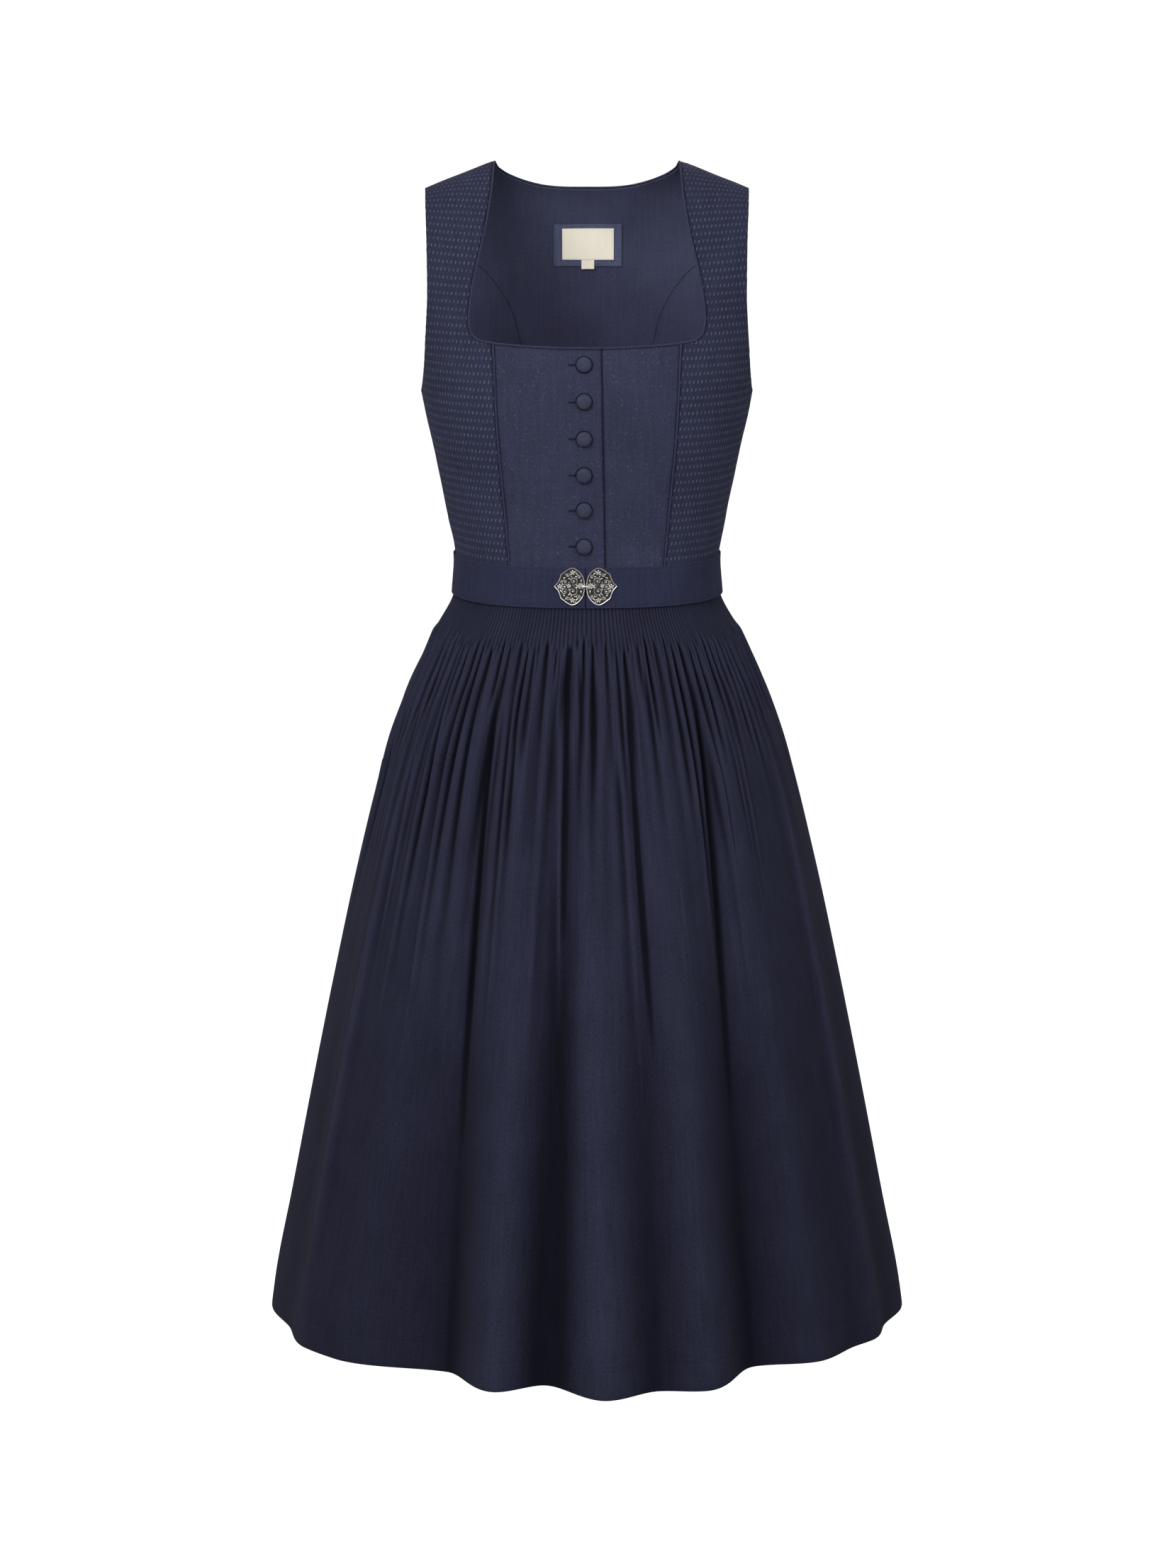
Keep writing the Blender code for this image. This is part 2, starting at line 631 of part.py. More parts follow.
def front_cord(name, sign):
    top = FRONT_SEAM[0][0] - CORD_TRIM
    centres = []
    ups = []
    for k in range(CORD_STEPS + 1):
        z = top + (WAIST_Z + CORD_TRIM - top) * k / CORD_STEPS
        place = node("front", sign * FRONT_SEAM_X(-z), z)
        sunk = CORD_SUNK + CORD_UNDER_BELT * eased((CORD_DIVE_Z - z) / CORD_DIVE)
        centres.append(cloth_point(place, sunk))
        ups.append(torso_normal(*place))
    return tube(name, centres, ups, FRONT_CORD, BODICE_NAVY, 0.7)


front_cord("piping_front_right", -1.0)
front_cord("piping_front_left", 1.0)


def neck_cord():
    """One cord round the neck edge, from the overlap's corner by the right strap to the left front."""
    strap = [line[0] for line in SIDE_FRONT[:len(SIDE_FRONT_STRAP)]]
    neck = [line[0] for line in YOKE_LINES]
    route = [(place, over_lift) for place in RIGHT_FRONT[0][::-1]]
    route += [(mirrored(place), no_lift) for place in strap[::-1]]
    route += [(place, no_lift) for place in neck[-2:0:-1]]
    route += [(place, no_lift) for place in strap]
    route += [(place, under_lift) for place in LEFT_FRONT[0][:1:-1]]
    edge = [cloth_point(place, NECK_CORD_SUNK, lift) for place, lift in route]
    ups = [torso_normal(*place) for place, _ in route]
    away = NECK_CORD + SEAM_GAP / 2
    last = len(edge) - 1
    centres = []
    for k, point in enumerate(edge):
        steps = []
        for a, b in ((max(k - 1, 0), max(k, 1)), (min(k, last - 1), min(k + 1, last))):
            steps.append((edge[b] - edge[a]).cross(ups[k]).normalized())
        centres.append(point + (steps[0] + steps[1]) * (away / (1.0 + steps[0].dot(steps[1]))))
    return centres, ups


neck_centres, neck_ups = neck_cord()
tube("piping_neck", neck_centres, neck_ups, NECK_CORD, BODICE_NAVY, 0.7)


# Belt, clasp and buttons

def round_waist(angle, z, out):
    """Point round the waist at an angle from the front centre, moved out from the bodice."""
    turn = (angle + math.pi) % (2 * math.pi) - math.pi
    side = "front" if abs(turn) <= math.pi / 2 else "back"
    s, _ = node(side, 0.0, z)
    place = (s, turn if side == "front" else math.copysign(math.pi, turn) - turn)
    return cloth_point(place, -out)


def belt():
    opening = BELT_OPENING_X / WAIST_HALF_WIDTH
    half_gap = 0.5 * BELT_OPENING / WAIST_HALF_WIDTH
    start = opening + half_gap
    span = 2 * math.pi - 2 * half_gap
    bm = bmesh.new()
    rings = []
    for k in range(BELT_SEGMENTS + 1):
        angle = start + span * k / BELT_SEGMENTS
        corners = ((BELT_TOP, LAYER_GAP), (BELT_TOP, LAYER_GAP + BELT_WALL),
                   (BELT_BOTTOM, LAYER_GAP + BELT_WALL), (BELT_BOTTOM, LAYER_GAP))
        rings.append([bm.verts.new(round_waist(angle, z, out)) for z, out in corners])
    for first, second in zip(rings, rings[1:]):
        for j in range(4):
            n = (j + 1) % 4
            bm.faces.new((first[j], first[n], second[n]))
            bm.faces.new((first[j], second[n], second[j]))
    bm.faces.new(rings[0])
    bm.faces.new(rings[-1])
    return add_object("belt", bm, BELT_NAVY, 0.7)


belt()


def on_belt(x, z, out):
    return round_waist(math.asin(x / WAIST_HALF_WIDTH), z, LAYER_GAP + BELT_WALL + CLASP_SEAT + out)


def inset(outline, distance):
    """The same closed outline, moved in by a distance."""
    moved = []
    count = len(outline)
    for k in range(count):
        before, here, after = (Vector(outline[i % count]) for i in (k - 1, k, k + 1))
        first = (here - before).normalized()
        second = (after - here).normalized()
        normal_a = Vector((first.y, -first.x))
        normal_b = Vector((second.y, -second.x))
        total = normal_a + normal_b
        moved.append(tuple(here + total * (distance / max(0.7, 1.0 + normal_a.dot(normal_b)))))
    return moved


def clasp_half(name, sign):
    """A plate bent to the belt, with a raised rim round a sunk ground and a small rosette."""
    upper = list(CLASP_OUTLINE)
    outline = upper + [(out, -up) for out, up in upper[-2:0:-1]]
    rim_inside = inset(outline, CLASP_RIM)
    ground = inset(outline, CLASP_RIM + CLASP_BEVEL)
    middle = Vector(CLASP_MIDDLE)
    petals = [middle.lerp(Vector(point), PETAL_REACH) for point in ground]
    layers = [(outline, 0.0), (outline, CLASP_PLATE), (rim_inside, CLASP_PLATE), (ground, CLASP_GROUND)]

    def place(point, height):
        return on_belt(BELT_OPENING_X + sign * point[0], CLASP_Z + point[1], height)

    bm = bmesh.new()
    rings = [[bm.verts.new(place(p, height)) for p in ring] for ring, height in layers]
    rings.append([
        bm.verts.new(place(p, CLASP_GROUND + (PETAL_RISE if k % 2 else -PETAL_SINK)))
        for k, p in enumerate(petals)
    ])
    count = len(outline)
    for first, second in zip(rings, rings[1:]):
        for j in range(count):
            n = (j + 1) % count
            bm.faces.new((first[j], first[n], second[n]))
            bm.faces.new((first[j], second[n], second[j]))
    under = bm.verts.new(place(middle, 0.0))
    top = bm.verts.new(place(middle, CLASP_GROUND + ROSETTE_RISE))
    for j in range(count):
        n = (j + 1) % count
        bm.faces.new((rings[0][j], rings[0][n], under))
        bm.faces.new((rings[-1][n], rings[-1][j], top))
    return add_object(name, bm, OLD_SILVER, 0.35, 1.0, sharp=35.0)


clasp_half("clasp_right", -1.0)
clasp_half("clasp_left", 1.0)


def clasp_hook():
    """The small rounded knob that lies over both inner rims and holds the halves together."""
    bm = bmesh.new()
    bmesh.ops.create_uvsphere(bm, u_segments=10, v_segments=6, radius=1.0)
    centre = on_belt(BELT_OPENING_X - HOOK_SHIFT, CLASP_Z, CLASP_PLATE + SEAM_GAP + HOOK_HALF[1])
    for vert in bm.verts:
        vert.co = centre + vert.co * Vector(HOOK_HALF)
    return add_object("clasp_hook", bm, OLD_SILVER, 0.3, 1.0)


clasp_hook()


def button(name, z):
    place = node("front", BUTTON_X, z)
    axis = torso_normal(*place)
    base = cloth_point(place, -BUTTON_SEAT, over_lift)
    side = axis.cross(Vector((0.0, 0.0, 1.0))).normalized()
    top = side.cross(axis)
    bm = bmesh.new()
    rings = []
    for share, height in BUTTON_PROFILE:
        ring = []
        for j in range(BUTTON_SIDES):
            turn = 2 * math.pi * j / BUTTON_SIDES
            reach = (side * math.cos(turn) + top * math.sin(turn)) * (share * BUTTON_RADIUS)
            ring.append(bm.verts.new(base + reach + axis * height))
        rings.append(ring)
    for first, second in zip(rings, rings[1:]):
        for j in range(BUTTON_SIDES):
            n = (j + 1) % BUTTON_SIDES
            bm.faces.new((first[j], first[n], second[n], second[j]))
    crown = bm.verts.new(base + axis * BUTTON_TOP)
    for j in range(BUTTON_SIDES):
        bm.faces.new((rings[-1][j], rings[-1][(j + 1) % BUTTON_SIDES], crown))
    bm.faces.new(rings[0])
    return add_object(name, bm, BODICE_NAVY, 0.7)


for number, height in enumerate(BUTTON_Z, start=1):
    button(f"button_{number}", height)


# Label

def sewn_patch(name, box, depth, colour):
    left, right, top, bottom = box
    across = max(2, round((right - left) / PATCH_STEP))
    down = max(1, round((top - bottom) / PATCH_STEP))
    grid = []
    for row in range(down + 1):
        z = top + (bottom - top) * row / down
        grid.append([node("back", left + (right - left) * k / across, z) for k in range(across + 1)])
    return cloth_wall(name, [grid], depth, depth + PATCH, colour, 0.7)


PATCH_DEPTH = LINING_IN + LABEL_GAP
LABEL_DEPTH = PATCH_DEPTH + PATCH + SEAM_GAP
sewn_patch("label_patch", PATCH_BOX, PATCH_DEPTH, PATCH_NAVY)
sewn_patch("label", LABEL_BOX, LABEL_DEPTH, LABEL_CREAM)
sewn_patch("size_tab", TAB_BOX, LABEL_DEPTH, LABEL_CREAM)


# Skirt

FOLD_WAIST, FOLD_HEM, FOLD_OUT = columns(FOLDS)


def wave_share(z, starts, full, gone):
    """How much of a family of pleats or folds there is at a height."""
    growing = eased((starts - z) / (starts - full))
    fading = 1.0 - eased((full - z) / (full - gone))
    return growing * fading


def unevenness(turn, count):
    """Pleats of one family differ in height; turn is in degrees round the skirt."""
    a = math.radians(turn)
    wobble = 0.30 * math.sin(7 * a + count) + 0.25 * math.sin(17 * a + 2.0 * count)
    return 1.0 + (0.25 * wobble if count == WAVES[0][0] else wobble)


def pleats(turn, z):
    """Height of the pleats and of the folds that they merge into."""
    total = 0.0
    for count, valley, starts, full, gone, height in WAVES:
        share = wave_share(z, starts, full, gone)
        if share > 0.0:
            wave = -math.cos(math.radians(count * (turn - valley)))
            total += height * share * unevenness(turn, count) * wave
    return total


def large_folds(angle, z):
    """Height of the largest folds; each runs from its angle at the waist to its angle at the hem."""
    share = (FOLDS_START - z) / (FOLDS_START - HEM_Z)
    if share <= 0.0:
        return 0.0
    lines = FOLD_WAIST + (FOLD_HEM - FOLD_WAIST) * share
    i = int(np.clip(np.searchsorted(lines, angle) - 1, 0, len(lines) - 2))
    t = eased((angle - lines[i]) / (lines[i + 1] - lines[i]))
    return (FOLD_OUT[i] + (FOLD_OUT[i + 1] - FOLD_OUT[i]) * t) * eased(share)


def creases(angle, z):
    total = 0.0
    for top_angle, low_angle, top_z, low_z, stand_out, half_width in CREASES:
        t = (top_z - z) / (top_z - low_z)
        if 0.0 < t < 1.0:
            middle = top_angle + (low_angle - top_angle) * t
            strength = eased(t / 0.2) * eased((1.0 - t) / 0.45)
            total += stand_out * strength * math.exp(-((angle - middle) / half_width) ** 2)
    return total


def fold_angle(turn):
    """Pleats are not quite evenly spaced; the side seams stay where they are."""
    a = math.radians(turn)
    return turn + 1.3 * math.sin(4 * a) + 0.5 * math.sin(10 * a)


def skirt_point(half, turn, z, half_width, ribs, inward):
    """Point of the skirt: turn in degrees from the front centre, inward the depth into the wall."""
    flare = (half_width - WAIST_HALF_WIDTH) / (HEM_HALF_WIDTH - WAIST_HALF_WIDTH)
    top_depth, hem_depth, top_full = SKIRT_DEPTHS[half]
    depth = top_depth + (hem_depth - top_depth) * flare
    full = top_full * (1.0 - flare)
    angle = fold_angle(turn)
    a = math.radians(angle)
    sine, cosine = math.sin(a), math.cos(a)
    x = half_width * sine
    y = -depth * cosine * (1.0 + full * sine * sine)
    across = half_width * cosine
    along = depth * sine * (1.0 + full * sine * sine) - 2.0 * depth * full * cosine * cosine * sine
    length = math.hypot(across, along)
    out = -inward + large_folds(angle, z) + creases(angle, z)
    if ribs:
        out += pleats(turn, z)
    return Vector((x + out * along / length, y - out * across / length, z))


def skirt_ring(half, z, half_width, count, ribs, inward):
    start = -90.0 if half == "front" else 90.0
    trim = math.degrees(0.5 * SEAM_GAP / half_width)
    ring = []
    for k in range(count + 1):
        turn = start + 180.0 * k / count
        if k == 0:
            turn += trim
        if k == count:
            turn -= trim
        ring.append(skirt_point(half, turn, z, half_width, ribs, inward))
    return ring


def join_rings(bm, first, second):
    """Triangles between two rings that may differ in their number of points."""
    i = j = 0
    a_last, b_last = len(first) - 1, len(second) - 1
    while i < a_last or j < b_last:
        next_a = (i + 1) / a_last if i < a_last else 2.0
        next_b = (j + 1) / b_last if j < b_last else 2.0
        if next_a <= next_b + 1e-9:
            bm.faces.new((first[i], first[i + 1], second[j]))
            i += 1
        else:
            bm.faces.new((first[i], second[j + 1], second[j]))
            j += 1


def skirt_half(half):
    bm = bmesh.new()
    outer = []
    inner = []
    for z, half_width, outer_points, inner_points, wall in SKIRT:
        outside = skirt_ring(half, z, half_width, outer_points, z < SKIRT_TOP_Z, 0.0)
        inside = skirt_ring(half, z, half_width, inner_points, inner_points == outer_points, wall)
        outer.append([bm.verts.new(p) for p in outside])
        inner.append([bm.verts.new(p) for p in inside])
    for rings in (outer, inner):
        for first, second in zip(rings, rings[1:]):
            join_rings(bm, first, second)
    join_rings(bm, outer[0], inner[0])
    join_rings(bm, outer[-1], inner[-1])
    for end in (0, -1):
        for k in range(len(SKIRT) - 1):
            bm.faces.new((outer[k][end], outer[k + 1][end], inner[k + 1][end]))
            bm.faces.new((outer[k][end], inner[k + 1][end], inner[k][end]))
    return add_object(f"skirt_{half}", bm, SKIRT_NAVY, 0.85, sharp=60.0)


skirt_half("front")
skirt_half("back")
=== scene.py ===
# %% [markdown]
# A dirndl is a festive dress: a fitted bodice on shoulder straps, a belt with a clasp, and a wide
# skirt whose top is drawn together in tiny round pleats. This script dresses its solid model.
# Each cloth piece is made again with a finer surface in the place of its solid, so the picture
# shows seams, threads and folds that a plain solid leaves out. Lengths are in metres, the front
# faces -Y, and the wearer's left is +X.

import math

import bmesh
import bpy
import numpy as np
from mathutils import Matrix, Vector


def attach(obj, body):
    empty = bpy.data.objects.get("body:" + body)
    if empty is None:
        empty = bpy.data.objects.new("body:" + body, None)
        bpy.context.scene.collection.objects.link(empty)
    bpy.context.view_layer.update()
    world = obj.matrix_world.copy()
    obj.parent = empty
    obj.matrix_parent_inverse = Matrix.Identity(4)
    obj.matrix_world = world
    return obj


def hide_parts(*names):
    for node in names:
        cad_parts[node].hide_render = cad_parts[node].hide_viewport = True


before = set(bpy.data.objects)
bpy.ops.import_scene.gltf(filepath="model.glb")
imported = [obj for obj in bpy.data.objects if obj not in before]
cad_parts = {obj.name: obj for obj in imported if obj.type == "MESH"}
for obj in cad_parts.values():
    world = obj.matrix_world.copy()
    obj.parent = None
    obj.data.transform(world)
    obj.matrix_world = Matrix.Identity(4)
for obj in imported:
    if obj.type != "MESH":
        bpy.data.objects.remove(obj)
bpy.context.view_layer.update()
scene = bpy.context.scene

# %% [markdown]
# The camera stands where the photographer stood: far away with a long lens, a little above the
# shoulders and tilted down. A long lens keeps the skirt from looking wider than the bodice.

# %% Camera
LENS_MM, SENSOR_MM = 103.96, 36.0
CAMERA_SPOT, LOOKS_DOWN = (0.001, -4.5, 0.303), 11.7


def link_new(name, data):
    """A new object in the scene with this data."""
    made = bpy.data.objects.new(name, data)
    scene.collection.objects.link(made)
    return made


lens = bpy.data.cameras.new("photo_camera")
lens.lens, lens.sensor_width = LENS_MM, SENSOR_MM
scene.camera = link_new("photo_camera", lens)
scene.camera.location = CAMERA_SPOT
scene.camera.rotation_euler = (math.radians(90.0 - LOOKS_DOWN), 0.0, 0.0)
print("camera looks down by", LOOKS_DOWN, "degrees")

# %% [markdown]
# Materials and geometry are both made of node trees here. This small helper writes such a tree as
# plain calls: every call adds one node, and an input takes either a number or another node's
# output. It keeps the recipes below short enough to read.

# %% A helper for node trees


class Tree:
    """Writes nodes into a tree, for materials as well as for geometry."""

    def __init__(self, tree):
        self.nodes, self.links = tree.nodes, tree.links

    def feed(self, socket, value):
        if isinstance(value, bpy.types.NodeSocket):
            self.links.new(value, socket)
        else:
            socket.default_value = value

    def fill(self, sockets, values):
        for key, value in values.items():
            self.feed(sockets[key], value)

    def add(self, kind, inputs=None, **settings):
        made = self.nodes.new(kind)
        for name, value in settings.items():
            setattr(made, name, value)
        self.fill(made.inputs, inputs or {})
        return made

    def first(self, kind, inputs=None, **settings):
        """The first output of a new node, which is the one that is mostly needed."""
        return self.add(kind, inputs, **settings).outputs[0]

    def math(self, operation, *values):
        return self.first("ShaderNodeMath", dict(enumerate(values)), operation=operation)

    def plus(self, a, b):
        return self.math("ADD", a, b)

    def minus(self, a, b):
        return self.math("SUBTRACT", a, b)

    def times(self, a, b):
        return self.math("MULTIPLY", a, b)

    def over(self, a, b):
        return self.math("DIVIDE", a, b)

    def times_plus(self, a, b, c):
        return self.math("MULTIPLY_ADD", a, b, c)

    def ramp(self, value, low, high, start=0.0, end=1.0):
        """Goes smoothly from start to end while the value goes from low to high."""
        return self.first("ShaderNodeMapRange", {0: value, 1: low, 2: high, 3: start, 4: end},
                          interpolation_type="SMOOTHSTEP")

    def split(self, steps):
        """The number of the step that a value lies in, and how far it is from that step's middle."""
        number = self.math("FLOOR", steps)
        return number, self.minus(self.minus(steps, number), 0.5)

    def noise(self, where, scale, detail, output=0):
        made = self.add("ShaderNodeTexNoise", {"Vector": where, "Scale": scale, "Detail": detail})
        return made.outputs[output]

    def scaled(self, vector, factor):
        return self.first("ShaderNodeVectorMath", {0: vector, "Scale": factor}, operation="SCALE")

    def mix(self, share, first, second):
        """Goes from the first colour to the second while share goes from 0 to 1."""
        return self.add("ShaderNodeMix", {0: share, 6: first, 7: second}, data_type="RGBA").outputs[2]


def new_group(name, kind, inputs, outputs):
    """A node group with named sockets; gives the group, its tree, its inputs and its outputs."""
    group = bpy.data.node_groups.new(name, kind)
    for label, socket_type, *value in inputs:
        made = group.interface.new_socket(label, in_out="INPUT", socket_type=socket_type)
        if value:
            made.default_value = value[0]
    for label, socket_type in outputs:
        group.interface.new_socket(label, in_out="OUTPUT", socket_type=socket_type)
    tree = Tree(group)
    return group, tree, tree.add("NodeGroupInput").outputs, tree.add("NodeGroupOutput").inputs


def group_node(tree, group, inputs):
    """Puts a group into a tree; the kind of its node follows from the kind of its tree."""
    return tree.add(group.bl_idname.replace("Tree", "Group"), inputs, node_tree=group)


print("tree helper ready")

# %% [markdown]
# In the photograph the folds that face the camera are light and their flanks are dark, so most of
# the light comes from the front: one large soft lamp near the camera, a little left and above.
# A weaker lamp on the right and a dim world open the shadows, and a third one behind the dress
# lights its back. What the camera sees behind the dress is white all the same, because the world
# is brighter for the camera's own rays.

# %% Studio light
AROUND, BEHIND = 0.60, 1.0
LOOKED_AT = Vector((0.0, 0.0, -0.5))
LAMPS = (
    # name, place, size, watts
    ("key_lamp", (-1.5, -3.3, 1.6), 2.1, 136.0),
    ("fill_lamp", (2.4, -3.3, 1.0), 2.2, 56.0),
    ("back_lamp", (0.9, 4.3, 1.5), 2.2, 60.0),
)


def seen_or_around(tree, around, seen):
    """The strength for light that falls on the dress, and the one that the camera sees."""
    rays = tree.add("ShaderNodeLightPath").outputs["Is Camera Ray"]
    return tree.math("MULTIPLY_ADD", rays, seen - around, around)


world = bpy.data.worlds.new("studio")
world.use_nodes = True
tree = Tree(world.node_tree)
tree.fill(world.node_tree.nodes["Background"].inputs,
          {"Color": (1.0, 1.0, 1.0, 1.0), "Strength": seen_or_around(tree, AROUND, BEHIND)})
scene.world = world
scene.view_settings.view_transform = "Standard"
for name, spot, size, watts in LAMPS:
    light = bpy.data.lights.new(name, "AREA")
    light.size, light.energy = size, watts
    lamp = link_new(name, light)
    lamp.location = spot
    lamp.rotation_euler = (LOOKED_AT - Vector(spot)).to_track_quat("-Z", "Y").to_euler()
print("lamps:", [row[0] for row in LAMPS])

# %% [markdown]
# Every piece below is made the same way: points and faces in code, its materials, and smooth
# shading with sharp edges kept where the real piece has them. Its place is in the mesh, and the
# object itself sits at the origin. Where asked, Blender turns the faces of a closed form outwards.

# %% Helpers for materials and pieces
TURN = 2.0 * math.pi


def new_material(name):
    """A material, its tree, and the inputs of its surface."""
    made = bpy.data.materials.new(name)
    made.use_nodes = True
    return made, Tree(made.node_tree), made.node_tree.nodes["Principled BSDF"].inputs


def new_piece(name, points, faces, materials=(), sharp=None, outwards=False):
    """A smooth piece. Edges of more than sharp degrees stay sharp."""
    mesh = bpy.data.meshes.new(name)
    mesh.from_pydata(np.asarray(points, float).tolist(), [], faces)
    for material in materials:
        mesh.materials.append(material)
    if outwards:
        form = bmesh.new()
        form.from_mesh(mesh)
        bmesh.ops.recalc_face_normals(form, faces=form.faces)
        form.to_mesh(mesh)
        form.free()
    mesh.shade_smooth()
    if sharp:
        mesh.set_sharp_from_angle(angle=math.radians(sharp))
    print(name, "faces", len(mesh.polygons))
    return link_new(name, mesh)


def dress_piece(piece, slot, *nodes):
    """Hangs a finished piece on the root and hides the solids that it stands for, if any. The slot, which
    names a finish, is not used.
    """
    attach(piece, "root")
    if nodes:
        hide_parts(*nodes)


# %% [markdown]
# The floor is one wide pale disc below the hem. It reaches far past the picture, and like the
# world it is white for the camera, so that no edge shows where the two meet.

# %% Floor
FLOOR_Z, FLOOR_REACH, FLOOR_SIDES = -1.75, 60.0, 96
FLOOR_GREY, FLOOR_AROUND, FLOOR_SEEN = 0.25, 0.02, 0.90

pale, tree, surface = new_material("pale_floor")
tree.fill(surface, {"Base Color": (FLOOR_GREY, FLOOR_GREY, FLOOR_GREY, 1.0), "Roughness": 0.9,
                    "Emission Color": (1.0, 1.0, 1.0, 1.0),
                    "Emission Strength": seen_or_around(tree, FLOOR_AROUND, FLOOR_SEEN)})
rim = [(FLOOR_REACH * math.cos(a), FLOOR_REACH * math.sin(a), FLOOR_Z)
       for a in np.linspace(0.0, TURN, FLOOR_SIDES, endpoint=False)]
new_piece("floor", rim, [list(range(FLOOR_SIDES))], [pale])

# %% [markdown]
# Up close no cloth has one flat colour. Its yarns take the dye unevenly and lie in patches that
# are a little lighter or darker. This group multiplies a cloth's colour by noises, one for large
# patches and two for single thick yarns, so that it can be used for every cloth here.

# %% Group: uneven dye
FLOAT, VECTOR, COLOUR = "NodeSocketFloat", "NodeSocketVector", "NodeSocketColor"

uneven_dye, tree, given, result = new_group(
    "uneven dye", "ShaderNodeTree",
    [("Place", VECTOR), ("Colour", COLOUR), ("Patches", FLOAT, 0.10), ("Yarns", FLOAT, 0.15)],
    [("Colour", COLOUR)])


def stretched_noise(scale, along, detail):
    """Noise about 0 whose spots are stretched along the cloth where along is below 1."""
    longer = tree.first("ShaderNodeVectorMath", {0: given["Place"], 1: (1.0, along, 1.0)},
                        operation="MULTIPLY")
    return tree.minus(tree.noise(longer, scale, detail), 0.5)


patches = tree.times(stretched_noise(17.0, 1.0, 3.0), given["Patches"])
slubs = tree.times(stretched_noise(330.0, 0.06, 2.0), given["Yarns"])
yarns = tree.times(stretched_noise(760.0, 0.45, 3.0), given["Yarns"])
light = tree.plus(patches, tree.times_plus(slubs, 0.55, yarns))
tree.feed(result["Colour"], tree.scaled(given["Colour"], tree.times_plus(light, 2.0, 1.0)))
print("group:", uneven_dye.name)

# %% [markdown]
# Cloth is woven from threads that pass over and under each other. In a plain weave they make a
# fine chequer, in a twill the steps shift sideways and make slanted ribs. Modelling each thread
# would take millions of faces, so a height pattern that feeds a bump does it. The pattern is
# broken up by noise, because hand-finished cloth is never quite even.

# %% Group: woven threads
woven, tree, given, result = new_group(
    "woven threads", "ShaderNodeTree",
    [("Place", VECTOR), ("Pitch", FLOAT, 0.0007), ("Twill", FLOAT, 0.0)],
    [("Height", FLOAT)])
parts = tree.add("ShaderNodeSeparateXYZ", {0: given["Place"]}).outputs
shift = tree.times(tree.minus(tree.noise(given["Place"], 260.0, 2.0), 0.5), 3.2)
u, v = (tree.plus(tree.times(tree.over(parts[k], given["Pitch"]), math.pi), shift) for k in (0, 1))
plain = tree.times(tree.math("SINE", u), tree.math("SINE", v))
slant = tree.math("SINE", tree.plus(u, tree.times(v, 0.8)))
both = tree.add("ShaderNodeMix", {0: given["Twill"], 2: plain, 3: slant})
tree.feed(result["Height"], tree.times_plus(both.outputs[0], 0.5, 0.5))
print("group:", woven.name)

# %% [markdown]
# The straps and side panels carry a small woven figure: short slanted dashes in rows, each row
# shifted by half a step against the next. It is woven in, so it isn't raised much. The group works
# out in which row and step a point lies and how far it is from that dash's middle. A random number
# for each dash makes some of them fainter.

# %% Group: woven dashes
dashes, tree, given, result = new_group(
    "woven dashes", "ShaderNodeTree",
    [("Place", VECTOR), ("Step", FLOAT, 0.0045), ("Row", FLOAT, 0.0077), ("Width", FLOAT, 0.0010),
     ("Length", FLOAT, 0.0030), ("Slant", FLOAT, 0.27)],
    [("Mask", FLOAT)])
parts = tree.add("ShaderNodeSeparateXYZ", {0: given["Place"]}).outputs
row, off_row = tree.split(tree.over(parts[1], given["Row"]))
up = tree.times(off_row, given["Row"])
leaned = tree.minus(parts[0], tree.times(up, given["Slant"]))
step, off_step = tree.split(tree.plus(tree.over(leaned, given["Step"]), tree.times(row, 0.5)))
side = tree.times(off_step, given["Step"])
near_side = tree.ramp(tree.over(tree.math("ABSOLUTE", side), given["Width"]), 0.30, 0.72, 1.0, 0.0)
near_up = tree.ramp(tree.over(tree.math("ABSOLUTE", up), given["Length"]), 0.36, 0.60, 1.0, 0.0)
number = tree.first("ShaderNodeCombineXYZ", {0: step, 1: row})
chance = tree.first("ShaderNodeTexWhiteNoise", {"Vector": number}, noise_dimensions="2D")
strength = tree.times_plus(chance, 0.5, 0.5)
tree.feed(result["Mask"], tree.times(strength, tree.times(near_side, near_up)))
print("group:", dashes.name)

# %% [markdown]
# All cloths share one recipe: uneven dye for the colour, woven threads for the bump, a rough
# surface and a little sheen from the fibres that stand up. Cloth pieces have their own flat
# coordinates in metres, called "cloth", so that the pattern follows the piece as it is cut, also
# round the body. Small things such as cords and threads use their place in space instead.

# %% The recipe for cloth


def cloth_place(tree):
    return tree.add("ShaderNodeUVMap", uv_map="cloth").outputs[0]


def object_place(tree):
    return tree.add("ShaderNodeTexCoord").outputs["Object"]


